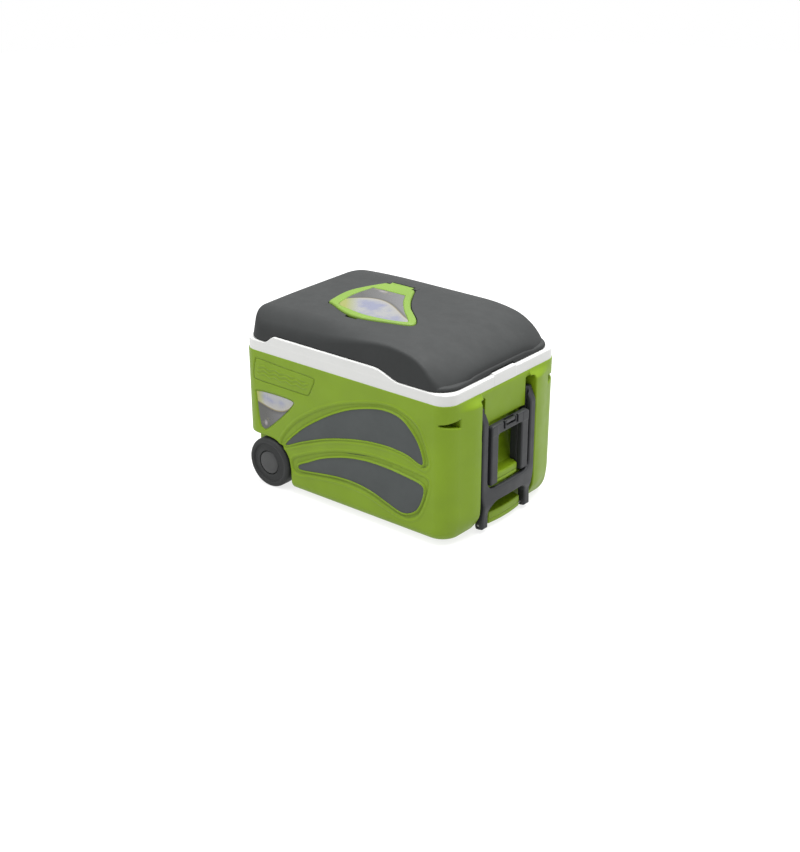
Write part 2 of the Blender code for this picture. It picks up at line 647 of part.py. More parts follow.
def tray_rings(inset, low, high):
    """Room inside the lid's white tray, from its floor up."""
    grown = 0.0090 + inset
    outline = rounded_outline(TUB_X[0] + grown, TUB_X[1] - grown, TUB_HALF_W - grown, TUB_R - grown)
    return [at_height(outline, z) for z in (low, high)]


def make_lid_inside():
    foam = lid_form("lid_foam", WALL + LID_FOAM_GAP, LID_EDGE_Z - 0.004, WALL + LID_FOAM_GAP, FOAM)
    cut(foam, box("foam_underside", (-0.4, -0.3, 0.30), (0.4, 0.3, LID_LINER_Z[1] + GAP)))
    grow = WALL + GAP
    cut(foam, *hatch_tools("_foam", grow), *band_tools("_foam", WALL * 0.6 + GAP))
    x_low, x_high = HATCH_HINGE_X
    cut(foam, box("hinge_room_foam", (x_low - 0.011, 0.10, 0.4240), (x_high + 0.011, 0.136, 0.47)))
    outline = rounded_outline(LID_L_MIN + 0.006, LID_L_MAX - 0.010, LID_W / 2 - 0.0095, 0.055, 6)
    liner = loft("lid_liner", [at_height(outline, z) for z in LID_LINER_Z], WHITE, lid_axis)
    cut(liner, *band_tools("_liner", WALL * 0.6 + GAP))
    rings = []
    for z, inset in ((0.3520, 0.008), (0.3550, 0.005), (0.3650, 0.003)):
        rings.append(at_height(rounded_outline(TUB_X[0] + inset, TUB_X[1] - inset, TUB_HALF_W - inset, TUB_R - inset), z))
    join(liner, loft("lid_plug", rings))
    opening = offset_outline(OPENING_OUTLINE, -WALL - GAP)
    cut(liner, plate("hatch_opening_liner", "XY", opening, 0.33, 0.44))
    for target, operation, inset, low, high in ((liner, cut, 0.0, 0.3545, 0.3750), (foam, join, GAP, 0.3548, 0.3700)):
        filling = loft(target.name + "_tray", tray_rings(inset, low, high))
        ring = offset_outline(OPENING_OUTLINE, -WALL - GAP - 0.0025 - inset)
        cut(filling, plate(target.name + "_tray_opening", "XY", ring, 0.33, 0.44))
        operation(target, filling)
    return foam, liner


def make_hatch():
    door = plate("hatch_door", "XY", HATCH_OUTLINE, *HATCH_Z, HATCH_GREEN, hatch_axis)
    x_low, x_high = HATCH_HINGE_X
    trough = box("door_hinge_room", (x_low - 0.003, 0.1085, 0.42), (x_high + 0.003, 0.14, 0.47))
    cut(door, trough)
    cut(door, plate("door_label_bed", "XY", offset_outline(HATCH_LABEL_OUTLINE, -GAP), HATCH_Z[1] - 0.0008, 0.47))
    web = [(0.1060, 0.4312), (0.1215, 0.4338), (0.1249, 0.4355), (0.1252, 0.4375), (0.1240, 0.4400), (0.1215, 0.4412),
           (0.1060, 0.4422)]
    lug = plate("hatch_lug", "YZ", web, x_low + 0.0125, x_high - 0.0125)
    join(door, lug)
    cut(door, rod("hatch_bore_door", (x_low, HATCH_HINGE_Y, HATCH_HINGE_Z), (x_high, HATCH_HINGE_Y, HATCH_HINGE_Z), 0.0018, sides=12))
    plate("hatch_label", "XY", HATCH_LABEL_OUTLINE, HATCH_Z[1] - 0.0005, HATCH_Z[1] + 0.0001, LABEL, hatch_axis)
    rod("hatch_pin", (x_low - 0.0040, HATCH_HINGE_Y, HATCH_HINGE_Z), (x_high + 0.0040, HATCH_HINGE_Y, HATCH_HINGE_Z), 0.0013, STEEL, lid_axis, 12)
    lower = offset_outline(OPENING_OUTLINE, PLUG_GAP + 0.003)
    upper = offset_outline(OPENING_OUTLINE, PLUG_GAP)
    loft("hatch_plug", [at_height(lower, 0.3900), at_height(upper, 0.3960), at_height(upper, HATCH_Z[0] - GAP)], WHITE, hatch_axis)


def make_lid_hinges():
    for side, x in (("left", -LID_HINGE_X), ("right", LID_HINGE_X)):
        base = box("lid_hinge_" + side, (x - 0.0262, 0.1958, 0.3378), (x + 0.0262, 0.2020, 0.3615), FRAME_GREY)
        for end, start, stop in (("a", x - 0.0262, x - 0.0147), ("b", x + 0.0147, x + 0.0262)):
            outline = [(0.1990, 0.3600), (0.1990, 0.3480)] + barrel_arc(-75.0, 90.0)
            join(base, plate("hinge_knuckle_%s_%s" % (side, end), "YZ", outline, start, stop))
        cut(base, rod("hinge_bore_" + side, (x - 0.0255, LID_HINGE_Y, LID_HINGE_Z), (x + 0.0255, LID_HINGE_Y, LID_HINGE_Z), 0.0020, sides=12))
        rod("lid_pin_" + side, (x - 0.0250, LID_HINGE_Y, LID_HINGE_Z), (x + 0.0250, LID_HINGE_Y, LID_HINGE_Z), 0.0016, STEEL, sides=12)
        cut(base, box("swing_room_" + side, (x - 0.0146, 0.2000, 0.3480), (x + 0.0146, 0.22, 0.37)))
        for end, screw_x in (("a", x - 0.0100), ("b", x + 0.0100)):
            cut(base, rod("screw_hole_%s_%s" % (side, end), (screw_x, 0.19, 0.3430), (screw_x, 0.21, 0.3430), 0.0018, sides=12))
            cut(base, rod("screw_sink_%s_%s" % (side, end), (screw_x, 0.2000, 0.3430), (screw_x, 0.21, 0.3430), 0.0034, sides=12))
            screw = rod("lid_hinge_screw_%s_%s" % (side, end), (screw_x, 0.1958, 0.3430), (screw_x, 0.2006, 0.3430), 0.0015, STEEL, sides=12)
            join(screw, rod("screw_head_%s_%s" % (side, end), (screw_x, 0.2003, 0.3430), (screw_x, 0.2018, 0.3430), 0.0031, sides=12))


# Wheels ---------------------------------------------------------------------------------------------------------
WHEEL_PROFILE = ((0.0053, 0.0090), (0.0290, 0.0090), (0.0290, 0.0175), (0.0320, 0.0190), (0.0450, 0.0165),
                 (0.0480, 0.0195), (0.0540, 0.0205), (0.0585, 0.0185), (WHEEL_R, 0.0145), (WHEEL_R, -0.0165),
                 (0.0590, -0.0200), (0.0500, -0.0205), (0.0480, -0.0100), (0.0140, -0.0100), (0.0120, -0.0314),
                 (0.0053, -0.0314))
CAP_PROFILE = ((0.0, 0.0205), (0.0200, 0.0205), (0.0255, 0.0195), (0.0285, 0.0165), (0.0285, 0.0094),
               (0.0255, 0.0094), (0.0255, 0.0150), (0.0, 0.0150))
NUT_PROFILE = ((0.0048, 0.0115), (0.0085, 0.0115), (0.0085, 0.0093), (0.0048, 0.0093))


def make_wheels():
    for label, side in (("front", -1), ("rear", 1)):
        centre = (WHEEL_X, side * WHEEL_Y, WHEEL_R)
        turned("wheel_" + label, WHEEL_PROFILE, centre, side, WHEEL_GREY, steps=36)
        turned("hub_cap_" + label, CAP_PROFILE, centre, side, WHEEL_GREY, steps=24)
        turned("axle_nut_" + label, NUT_PROFILE, centre, side, STEEL, steps=12)
    rod("wheel_axle", (WHEEL_X, -0.2030, WHEEL_R), (WHEEL_X, 0.2030, WHEEL_R), AXLE_R, STEEL)


# Tow handle -----------------------------------------------------------------------------------------------------
def make_tow_frame():
    half_bar = ARM_Y[1] - 0.0006
    outline = []
    for edge_x, direction in ((0.3120, 1), (0.2990, -1)):
        for step in range(11):
            y = direction * (-half_bar + 2 * half_bar * step / 10)
            outline.append((edge_x + 0.0095 * (1.0 - (y / half_bar) ** 2), y))
    frame = plate("tow_frame", "XY", outline, 0.064, 0.104, FRAME_GREY, tow_axis)
    arm = [(0.3080, 0.120), (0.3080, 0.272), (0.2965, 0.297), (ARM_X[0], 0.297), (ARM_X[0], 0.112),
           (0.2955, 0.078), (0.2955, 0.066), (0.3140, 0.066), (0.3140, 0.092)]
    leg = [(-0.0975, 0.080), (-0.0880, 0.056), (-0.0830, 0.034), (-0.0850, 0.022), (-0.0850, 0.0080),
           (-0.0645, 0.0080), (-0.0645, 0.040), (-0.0600, 0.056), (-0.0480, 0.070), (-0.0700, 0.090)]
    for label, low, high in (("front", -ARM_Y[1], -ARM_Y[0]), ("rear", *ARM_Y)):
        join(frame, plate("arm_" + label, "XZ", arm, low, high))
        outline = leg if label == "front" else mirrored(leg)
        join(frame, plate("leg_" + label, "YZ", outline, 0.2915, 0.3070))
        groove_low, groove_high = (high - 0.0047, high + 0.002) if label == "front" else (low - 0.002, low + 0.0047)
        cut(frame, box("groove_" + label, (0.3011, groove_low, 0.1115), (0.3044, groove_high, 0.31)))
        bore_low, bore_high = (-0.090, -0.060) if label == "front" else (0.060, 0.090)
        cut(frame, rod("foot_bore_" + label, (TOW_AXIS_X, bore_low, TOW_AXIS_Z), (TOW_AXIS_X, bore_high, TOW_AXIS_Z), 0.0035))
    return frame


def u_outline(outer, top, inner, inner_top, bottom, chamfer=0.008):
    """Inverted U seen from the end, outer and inner being half widths."""
    notch = chamfer * 0.6
    return [(outer, bottom), (outer, top - chamfer), (outer - chamfer, top), (chamfer - outer, top),
            (-outer, top - chamfer), (-outer, bottom), (-inner, bottom), (-inner, inner_top - notch),
            (notch - inner, inner_top), (inner - notch, inner_top), (inner, inner_top - notch), (inner, bottom)]


def make_grip():
    bail = plate("grip_bail", "YZ", u_outline(BAIL_HALF_W, BAIL_Z[1], WINDOW_HALF_W, GRIP_UNDERSIDE_Z, BAIL_Z[0]),
                 *GRIP_FRONT_X, FRAME_GREY, tow_axis)
    channel = u_outline(0.0580, 0.2475, 0.0490, 0.2300, 0.1130, 0.001)
    cut(bail, plate("yoke_channel", "YZ", channel, 0.3000, 0.3120))
    cut(bail, box("button_hole", (0.3062, -0.0175, 0.2400), (0.3150, 0.0175, 0.26)))
    tongue = 0.0826
    outline = [(tongue, BAIL_Z[0]), (tongue, 0.157), (BAIL_HALF_W, 0.162), (BAIL_HALF_W, 0.242), (0.055, BAIL_Z[1])]
    outline += [(-y, z) for y, z in reversed(outline)]
    outline += [(-WINDOW_HALF_W, BAIL_Z[0]), (-WINDOW_HALF_W, 0.223), (-0.0385, GRIP_UNDERSIDE_Z),
                (0.0385, GRIP_UNDERSIDE_Z), (WINDOW_HALF_W, 0.223), (WINDOW_HALF_W, BAIL_Z[0])]
    plate("grip_back", "YZ", outline, *GRIP_BACK_X, FRAME_GREY, tow_axis)
    box("grip_button", (0.3066, -0.0170, 0.2443), (0.3146, 0.0170, 0.2535), FRAME_GREY, tow_axis)
    yoke = box("latch_yoke", (0.3056, -0.0560, 0.2400), (0.3100, 0.0560, 0.2440), FRAME_GREY, tow_axis)
    for label, low in (("front", -0.0560), ("rear", 0.0515)):
        join(yoke, box("latch_rod_" + label, (0.3058, low + 0.0002, 0.1180), (0.3098, low + 0.0043, 0.2420)))


def make_button_spring():
    """Small compression coil between the bail's bar and the latch yoke."""
    curve = bpy.data.curves.new("button_spring", "CURVE")
    curve.dimensions = "3D"
    curve.bevel_depth = 0.00040
    curve.bevel_resolution = 1
    curve.use_fill_caps = True
    curve.render_resolution_u = 0
    turns, per_turn, low, high, radius = 4, 8, 0.2310, 0.2390, 0.0026
    count = turns * per_turn + 1
    spline = curve.splines.new("POLY")
    spline.points.add(count - 1)
    for i, point in enumerate(spline.points):
        angle = 2 * math.pi * i / per_turn
        point.co = (0.3082 + radius * math.cos(angle), radius * math.sin(angle), low + (high - low) * i / (count - 1), 1.0)
    guide = bpy.data.objects.new("spring_guide", curve)
    bpy.context.scene.collection.objects.link(guide)
    bpy.context.view_layer.update()
    mesh = bpy.data.meshes.new_from_object(guide.evaluated_get(bpy.context.evaluated_depsgraph_get()))
    bpy.data.objects.remove(guide, do_unlink=True)
    bpy.data.curves.remove(curve)
    shape = bmesh.new()
    shape.from_mesh(mesh)
    bmesh.ops.remove_doubles(shape, verts=shape.verts, dist=0.00001)
    finish_object("button_spring", mesh_from_bmesh(shape), STEEL, tow_axis)


def make_tow_pins():
    """Pins through the frame's feet into the lower lip, with heads outside the feet."""
    for label, side in (("front", -1), ("rear", 1)):
        shaft_from, shaft_to, head_to = side * 0.0560, side * 0.0870, side * 0.0885
        pin = rod("tow_pin_" + label, (TOW_AXIS_X, shaft_from, TOW_AXIS_Z), (TOW_AXIS_X, shaft_to, TOW_AXIS_Z), 0.0032, STEEL)
        join(pin, rod("pin_head_" + label, (TOW_AXIS_X, side * 0.0854, TOW_AXIS_Z), (TOW_AXIS_X, head_to, TOW_AXIS_Z), 0.0055))


shell = make_outer_shell()
for label, side in (("front", -1), ("rear", 1)):
    cut(shell, rod("pin_socket_" + label, (TOW_AXIS_X, side * 0.0550, TOW_AXIS_Z), (TOW_AXIS_X, side * 0.0700, TOW_AXIS_Z), 0.0035))
make_inlays()
make_inner_liner()
make_foam_core()
make_lid_cover()
make_lid_inside()
make_hatch()
make_lid_hinges()
make_wheels()
make_tow_frame()
make_grip()
make_button_spring()
make_tow_pins()
bpy.context.view_layer.update()
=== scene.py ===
"""Looks of a wheeled ice chest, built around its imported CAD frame.

The moulded pieces are modelled as fields: a function that is negative inside the piece. skin() turns
a field into a closed mesh. Lengths are metres in the chest's own frame, whose origin is on the floor
under the middle of the chest body, and place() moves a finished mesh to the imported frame.
"""
import math

import bmesh
import bpy
import numpy as np
from mathutils import Matrix, Vector


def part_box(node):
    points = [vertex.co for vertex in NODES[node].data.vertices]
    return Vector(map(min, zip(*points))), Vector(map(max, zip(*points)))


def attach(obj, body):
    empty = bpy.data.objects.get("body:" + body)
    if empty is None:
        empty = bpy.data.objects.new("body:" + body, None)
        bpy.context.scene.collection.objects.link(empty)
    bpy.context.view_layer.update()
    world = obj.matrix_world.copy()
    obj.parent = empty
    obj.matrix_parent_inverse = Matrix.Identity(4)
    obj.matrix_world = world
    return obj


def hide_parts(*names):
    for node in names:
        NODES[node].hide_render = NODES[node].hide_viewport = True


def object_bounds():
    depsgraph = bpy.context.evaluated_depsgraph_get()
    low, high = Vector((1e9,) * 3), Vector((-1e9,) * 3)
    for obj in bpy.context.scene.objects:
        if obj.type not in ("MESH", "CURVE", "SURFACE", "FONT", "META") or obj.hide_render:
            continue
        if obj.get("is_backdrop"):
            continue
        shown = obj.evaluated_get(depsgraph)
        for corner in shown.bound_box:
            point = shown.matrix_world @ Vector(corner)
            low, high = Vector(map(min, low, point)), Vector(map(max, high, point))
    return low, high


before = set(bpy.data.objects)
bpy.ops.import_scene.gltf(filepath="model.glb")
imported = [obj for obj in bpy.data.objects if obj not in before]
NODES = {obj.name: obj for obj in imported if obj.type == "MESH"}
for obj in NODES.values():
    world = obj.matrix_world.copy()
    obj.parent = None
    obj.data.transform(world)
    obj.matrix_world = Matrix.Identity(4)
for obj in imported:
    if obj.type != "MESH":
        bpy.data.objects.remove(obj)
CAD_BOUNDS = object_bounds()

WHEEL_X = -0.2245
wheel_low, wheel_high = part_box("wheel_front")
SHIFT_X = (wheel_low.x + wheel_high.x) / 2 - WHEEL_X

# Chest dimensions --------------------------------------------------------------
HALF_L = 0.300
HALF_W = 0.2075
FLOOR_Z = 0.010
SHELL_TOP = 0.336
RIM_TOP = 0.3610
FRONT_RAISE = 0.019
CORNER_R = 0.040
EDGE_R = 0.022
CHIN_H = 0.070
CHIN_D = 0.018
END_BULGE = 0.0135             # the handle end stands out this much beside the tow arms
SIDE_DRAFT = 0.004
WHEEL_R = 0.061
WHEEL_Y = 0.190
ARCH_R = 0.065
ARCH_Y = 0.158
AXLE_ROOM_R = 0.0055
LID_X = (-0.2965, 0.2900)
LID_HALF_W = 0.2045
LID_EDGE_Z = 0.3616
LID_TOP = 0.440
LID_R = 0.056
LID_HINGE_Y = 0.2065
LID_HINGE_Z = 0.3555
LID_HINGE_X = 0.170
HATCH_SEAT_Z = 0.4305
HATCH_TOP_Z = 0.4425
HATCH_HINGE_Y = 0.1215
HATCH_HINGE_Z = 0.4375
HATCH_HINGE_X = (-0.133, -0.043)
BAY_X = 0.2815
BAY_HALF_W = 0.1005
BAY_TOP = 0.254


# Fields ------------------------------------------------------------------------
def both(a, b, r=0.0):
    """Inside both fields, the edge between them rounded over about r."""
    if r <= 0.0:
        return np.maximum(a, b)
    h = np.maximum(r - np.abs(a - b), 0.0) / r
    return np.maximum(a, b) + h * h * r * 0.25


def either(a, b, r=0.0):
    return -both(-a, -b, r)


def without(a, b, r=0.0):
    return both(a, -b, r)


def rounded_rect(u, v, low_u, high_u, low_v, high_v, r):
    """Distance to a rounded rectangle in a plane."""
    qu = np.abs(u - (low_u + high_u) / 2) - (high_u - low_u) / 2 + r
    qv = np.abs(v - (low_v + high_v) / 2) - (high_v - low_v) / 2 + r
    return np.minimum(np.maximum(qu, qv), 0.0) + np.hypot(np.maximum(qu, 0.0), np.maximum(qv, 0.0)) - r


def slab(v, low, high):
    return np.maximum(low - v, v - high)


def block(x, y, z, low, high, r=0.002):
    """Distance to a box with rounded edges."""
    q = [np.abs(c - (a + b) / 2) - (b - a) / 2 + r for c, a, b in zip((x, y, z), low, high)]
    out = np.sqrt(sum(np.maximum(c, 0.0) ** 2 for c in q))
    return np.minimum(np.maximum(np.maximum(q[0], q[1]), q[2]), 0.0) + out - r


def ease(t):
    t = np.clip(t, 0.0, 1.0)
    return t * t * (3.0 - 2.0 * t)


def ridge(d, width):
    """One in the middle of a line, falling smoothly to nothing at half the width on each side."""
    return 1.0 - ease(np.abs(d) / (width / 2))


def spline_loop(corners, steps=8):
    """Closed Catmull-Rom curve through the corners."""
    points = np.array(corners, float)
    before, after, later = (np.roll(points, k, axis=0) for k in (1, -1, -2))
    loops = []
    for t in np.arange(steps) / steps:
        square = 2 * before - 5 * points + 4 * after - later
        cube = 3 * points - before - 3 * after + later
        loops.append(0.5 * (2 * points + (after - before) * t + square * t ** 2 + cube * t ** 3))
    return np.stack(loops, axis=1).reshape(-1, 2)


class Outline:
    """Distance to a closed outline in a plane, negative inside, read from a table."""

    def __init__(self, points, margin=0.03, cell=0.001):
        self.points = np.array(points, float)
        self.low = self.points.min(0) - margin
        counts = np.ceil((self.points.max(0) + margin - self.low) / cell).astype(int) + 1
        self.cell = cell
        u = self.low[0] + np.arange(counts[0]) * cell
        v = self.low[1] + np.arange(counts[1]) * cell
        gu, gv = np.meshgrid(u, v, indexing="ij")
        nearest = np.full(gu.shape, 1e9)
        inside = np.zeros(gu.shape, bool)
        for a, b in zip(self.points, np.roll(self.points, -1, axis=0)):
            du, dv = b - a
            t = np.clip(((gu - a[0]) * du + (gv - a[1]) * dv) / max(du * du + dv * dv, 1e-18), 0.0, 1.0)
            nearest = np.minimum(nearest, np.hypot(gu - a[0] - t * du, gv - a[1] - t * dv))
            crosses = (a[1] > gv) != (b[1] > gv)
            with np.errstate(divide="ignore", invalid="ignore"):
                at_u = a[0] + (gv - a[1]) * du / (dv if dv else np.nan)
            inside ^= crosses & (gu < at_u)
        self.table = np.where(inside, -nearest, nearest)

    def __call__(self, u, v):
        size_u, size_v = self.table.shape
        fu = np.clip((u - self.low[0]) / self.cell, 0, size_u - 1.001)
        fv = np.clip((v - self.low[1]) / self.cell, 0, size_v - 1.001)
        iu, iv = fu.astype(int), fv.astype(int)
        fu, fv = fu - iu, fv - iv
        t = self.table
        return ((t[iu, iv] * (1 - fv) + t[iu, iv + 1] * fv) * (1 - fu)
                + (t[iu + 1, iv] * (1 - fv) + t[iu + 1, iv + 1] * fv) * fu)


# Meshes from fields ------------------------------------------------------------
CORNERS = np.array([(i, j, k) for i in (0, 1) for j in (0, 1) for k in (0, 1)])
EDGES = [(a, b) for a in range(8) for b in range(a + 1, 8) if np.abs(CORNERS[a] - CORNERS[b]).sum() == 1]


def sample(field, low, counts, step, group=6):
    """Field values on a grid, worked out finely only near the surface."""
    groups = [-(-n // group) for n in counts]
    centres = [low[a] + (np.arange(groups[a]) * group + (group - 1) / 2) * step for a in range(3)]
    coarse = field(*np.meshgrid(*centres, indexing="ij"))
    near = np.abs(coarse) < group * step * 1.5 + 0.004
    values = np.where(coarse < 0, -1.0, 1.0).astype(np.float32)
    for axis in range(3):
        values = np.repeat(values, group, axis)
    base = np.argwhere(near) * group
    local = np.stack(np.meshgrid(*[np.arange(group)] * 3, indexing="ij"), -1).reshape(-1, 3)
    for part in np.array_split(base, max(1, len(base) * group ** 3 // 1500000)):
        index = (part[:, None, :] + local[None]).reshape(-1, 3)
        x, y, z = (low[a] + index[:, a] * step for a in range(3))
        values[index[:, 0], index[:, 1], index[:, 2]] = field(x, y, z)
    return values[:counts[0], :counts[1], :counts[2]]


def surface_nets(values, low, step):
    """Vertices and quads of the zero level of gridded values."""
    inside = values < 0
    shape = np.array(values.shape) - 1
    count = np.zeros(shape, np.uint8)
    for i, j, k in CORNERS:
        count += inside[i:i + shape[0], j:j + shape[1], k:k + shape[2]]
    cells = np.argwhere((count > 0) & (count < 8))
    first, second, third = cells.T
    corner_values = np.stack([values[first + i, second + j, third + k] for i, j, k in CORNERS], 1)
    total = np.zeros((len(cells), 3))
    crossings = np.zeros(len(cells))
    for a, b in EDGES:
        va, vb = corner_values[:, a], corner_values[:, b]
        hit = (va < 0) != (vb < 0)
        t = np.where(hit, va / np.where(hit, va - vb, 1.0), 0.0)
        total += hit[:, None] * (CORNERS[a] + t[:, None] * (CORNERS[b] - CORNERS[a]))
        crossings += hit
    vertices = low + (cells + total / crossings[:, None]) * step
    keys = (cells[:, 0] * shape[1] + cells[:, 1]) * shape[2] + cells[:, 2]
    quads = []
    for axis in range(3):
        b, c = (axis + 1) % 3, (axis + 2) % 3
        first = [slice(None)] * 3
        second = [slice(None)] * 3
        first[axis], second[axis] = slice(0, -1), slice(1, None)
        here, there = inside[tuple(first)], inside[tuple(second)]
        points = np.argwhere(here != there)
        keep = (points[:, b] > 0) & (points[:, c] > 0) & (points[:, b] < shape[b]) & (points[:, c] < shape[c])
        points = points[keep]
        outward = here[points[:, 0], points[:, 1], points[:, 2]]
        ring = []
        for step_b, step_c in ((1, 1), (0, 1), (0, 0), (1, 0)):
            cell = points.copy()
            cell[:, b] -= step_b
            cell[:, c] -= step_c
            ring.append(np.searchsorted(keys, (cell[:, 0] * shape[1] + cell[:, 1]) * shape[2] + cell[:, 2]))
        ring = np.stack(ring, 1)
        ring[~outward] = ring[~outward][:, ::-1]
        quads.append(ring)
    return vertices, np.concatenate(quads)


def slope(field, points, h):
    """Gradient of a field at points."""
    x, y, z = points.T
    return np.stack([field(x + h, y, z) - field(x - h, y, z), field(x, y + h, z) - field(x, y - h, z),
                     field(x, y, z + h) - field(x, y, z - h)], 1) / (2 * h)


def settle(field, points, step, rounds=2):
    """Pull points onto the zero level."""
    for _ in range(rounds):
        gradient = slope(field, points, step * 0.2)
        size = np.maximum((gradient ** 2).sum(1), 0.05)
        move = (field(*points.T) / size)[:, None] * gradient
        length = np.linalg.norm(move, axis=1)
        move *= np.minimum(1.0, 0.7 * step / np.maximum(length, 1e-12))[:, None]
        points = points - move
    return points


def relax(points, quads, share=0.5):
    """Move each point towards the mean of its neighbours."""
    a = quads.ravel()
    b = np.roll(quads, -1, axis=1).ravel()
    total = np.stack([np.bincount(a, points[b, k], len(points)) + np.bincount(b, points[a, k], len(points))
                      for k in range(3)], 1)
    degree = np.bincount(a, minlength=len(points)) + np.bincount(b, minlength=len(points))
    return points + share * (total / np.maximum(degree, 1)[:, None] - points)


def mesh_of(name, points, faces):
    mesh = bpy.data.meshes.new(name)
    size = faces.shape[1]
    mesh.vertices.add(len(points))
    mesh.vertices.foreach_set("co", points.astype(np.float32).ravel())
    mesh.loops.add(faces.size)
    mesh.loops.foreach_set("vertex_index", faces.astype(np.int32).ravel())
    mesh.polygons.add(len(faces))
    mesh.polygons.foreach_set("loop_start", np.arange(len(faces), dtype=np.int32) * size)
    mesh.update(calc_edges=True)
    mesh.validate()
    return mesh


def points_of(mesh):
    flat = np.empty(len(mesh.vertices) * 3, np.float32)
    mesh.vertices.foreach_get("co", flat)
    return flat.reshape(-1, 3).astype(float)


def place(part, body, material, replaces=()):
    """Move a finished piece from the chest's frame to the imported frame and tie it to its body."""
    part.data.transform(Matrix.Translation((SHIFT_X, 0.0, 0.0)))
    part.data.materials.clear()
    part.data.materials.append(material)
    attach(part, body)
    if replaces:
        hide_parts(*replaces)
    return part


def skin(name, field, low, high, step, body, material, replaces=(), faces=None):
    """Closed mesh of a field, thinned to a number of triangles where one is given."""
    low = np.array(low, float) - 2.5 * step
    counts = np.ceil((np.array(high) + 2.5 * step - low) / step).astype(int) + 1
    points, quads = surface_nets(sample(field, low, counts, step), low, step)
    points = settle(field, points, step, 3)
    points = settle(field, relax(points, quads), step, 2)
    mesh = mesh_of(name, points, quads)
    part = bpy.data.objects.new(name, mesh)
    bpy.context.scene.collection.objects.link(part)
    if faces and 2 * len(quads) > faces:
        thin = part.modifiers.new("thin", "DECIMATE")
        thin.ratio = faces / (2 * len(quads))
        graph = bpy.context.evaluated_depsgraph_get()
        part.data = bpy.data.meshes.new_from_object(part.evaluated_get(graph))
        part.modifiers.clear()
        bpy.data.meshes.remove(mesh)
        mesh = part.data
        mesh.name = name
        points = settle(field, points_of(mesh), step, 1)
        mesh.vertices.foreach_set("co", points.astype(np.float32).ravel())
    normals = slope(field, points, step * 0.35)
    normals /= np.maximum(np.linalg.norm(normals, axis=1), 1e-9)[:, None]
    mesh.shade_smooth()
    mesh.normals_split_custom_set_from_vertices(normals)
    return place(part, body, material, replaces)


# Materials ---------------------------------------------------------------------
def material_nodes(name, roughness, metallic=0.0, specular=0.5):
    material = bpy.data.materials.new(name)
    material.use_nodes = True
    tree = material.node_tree
    shader = tree.nodes["Principled BSDF"]
    shader.inputs["Roughness"].default_value = roughness
    shader.inputs["Metallic"].default_value = metallic
    shader.inputs["Specular IOR Level"].default_value = specular
    return material, tree, shader


def new_node(tree, kind, **values):
    node = tree.nodes.new(kind)
    for key, value in values.items():
        if key in node.inputs:
            node.inputs[key].default_value = value
        else:
            setattr(node, key, value)
    return node


def noise(tree, scale, detail=3.0, roughness=0.5):
    place_in = tree.nodes.get("here") or new_node(tree, "ShaderNodeTexCoord", name="here")
    node = new_node(tree, "ShaderNodeTexNoise", Scale=scale, Detail=detail, Roughness=roughness)
    tree.links.new(place_in.outputs["Object"], node.inputs["Vector"])
    return node.outputs["Fac"]


def ramp(tree, value, low, high, to_low=0.0, to_high=1.0):
    node = new_node(tree, "ShaderNodeMapRange")
    node.inputs["From Min"].default_value = low
    node.inputs["From Max"].default_value = high
    node.inputs["To Min"].default_value = to_low
    node.inputs["To Max"].default_value = to_high
    tree.links.new(value, node.inputs["Value"])
    return node.outputs["Result"]


def blend_colours(tree, factor, first, second):
    """Mix two colours, each a socket or a plain colour."""
    node = new_node(tree, "ShaderNodeMix", data_type="RGBA")
    tree.links.new(factor, node.inputs[0])
    for socket, value in ((node.inputs[6], first), (node.inputs[7], second)):
        if isinstance(value, tuple):
            socket.default_value = (*value, 1.0)
        else:
            tree.links.new(value, socket)
    return node.outputs[2]


def value_node(tree, value):
    node = new_node(tree, "ShaderNodeValue")
    node.outputs[0].default_value = value
    return node.outputs[0]


def scaled(colour, k):
    return tuple(min(1.0, c * k) for c in colour)


def moulded(name, colour, roughness, grain, grain_height, wear=1.12, patch=0.05, specular=0.5):
    """Moulded plastic: faint mottling, fine grain, uneven gloss, lighter worn edges, and painted shade
    darkening the hollow places.
    """
    material, tree, shader = material_nodes(name, roughness, 0.0, specular)
    mottle = ramp(tree, noise(tree, 14.0, 4.0), 0.3, 0.7)
    base = blend_colours(tree, mottle, scaled(colour, 1.0 - patch), scaled(colour, 1.0 + patch))
    shape = new_node(tree, "ShaderNodeNewGeometry")
    edges = ramp(tree, shape.outputs["Pointiness"], 0.52, 0.60)
    worn = new_node(tree, "ShaderNodeMath", operation="MULTIPLY")
    tree.links.new(edges, worn.inputs[0])
    tree.links.new(ramp(tree, noise(tree, 60.0, 2.0), 0.35, 0.75), worn.inputs[1])
    base = blend_colours(tree, worn.outputs[0], base, scaled(colour, wear))
    # painted shade: concave places are darkened to stand in for the shadow that falls in hollow places and
    # recesses
    painted_hollow_shade = ramp(tree, shape.outputs["Pointiness"], 0.494, 0.455)
    base = blend_colours(tree, painted_hollow_shade, base, scaled(colour, 0.62))
    tree.links.new(base, shader.inputs["Base Color"])
    gloss = ramp(tree, noise(tree, 32.0, 5.0, 0.6), 0.25, 0.75, roughness - 0.06, roughness + 0.07)
    tree.links.new(gloss, shader.inputs["Roughness"])
    fine = noise(tree, grain, 2.0)
    swell = noise(tree, 38.0, 1.0)
    height = new_node(tree, "ShaderNodeMath", operation="MULTIPLY_ADD")
    tree.links.new(swell, height.inputs[0])
    height.inputs[1].default_value = 2.5
    tree.links.new(fine, height.inputs[2])
    bump = new_node(tree, "ShaderNodeBump", Strength=0.5, Distance=grain_height)
    tree.links.new(height.outputs[0], bump.inputs["Height"])
    tree.links.new(bump.outputs["Normal"], shader.inputs["Normal"])
    return material


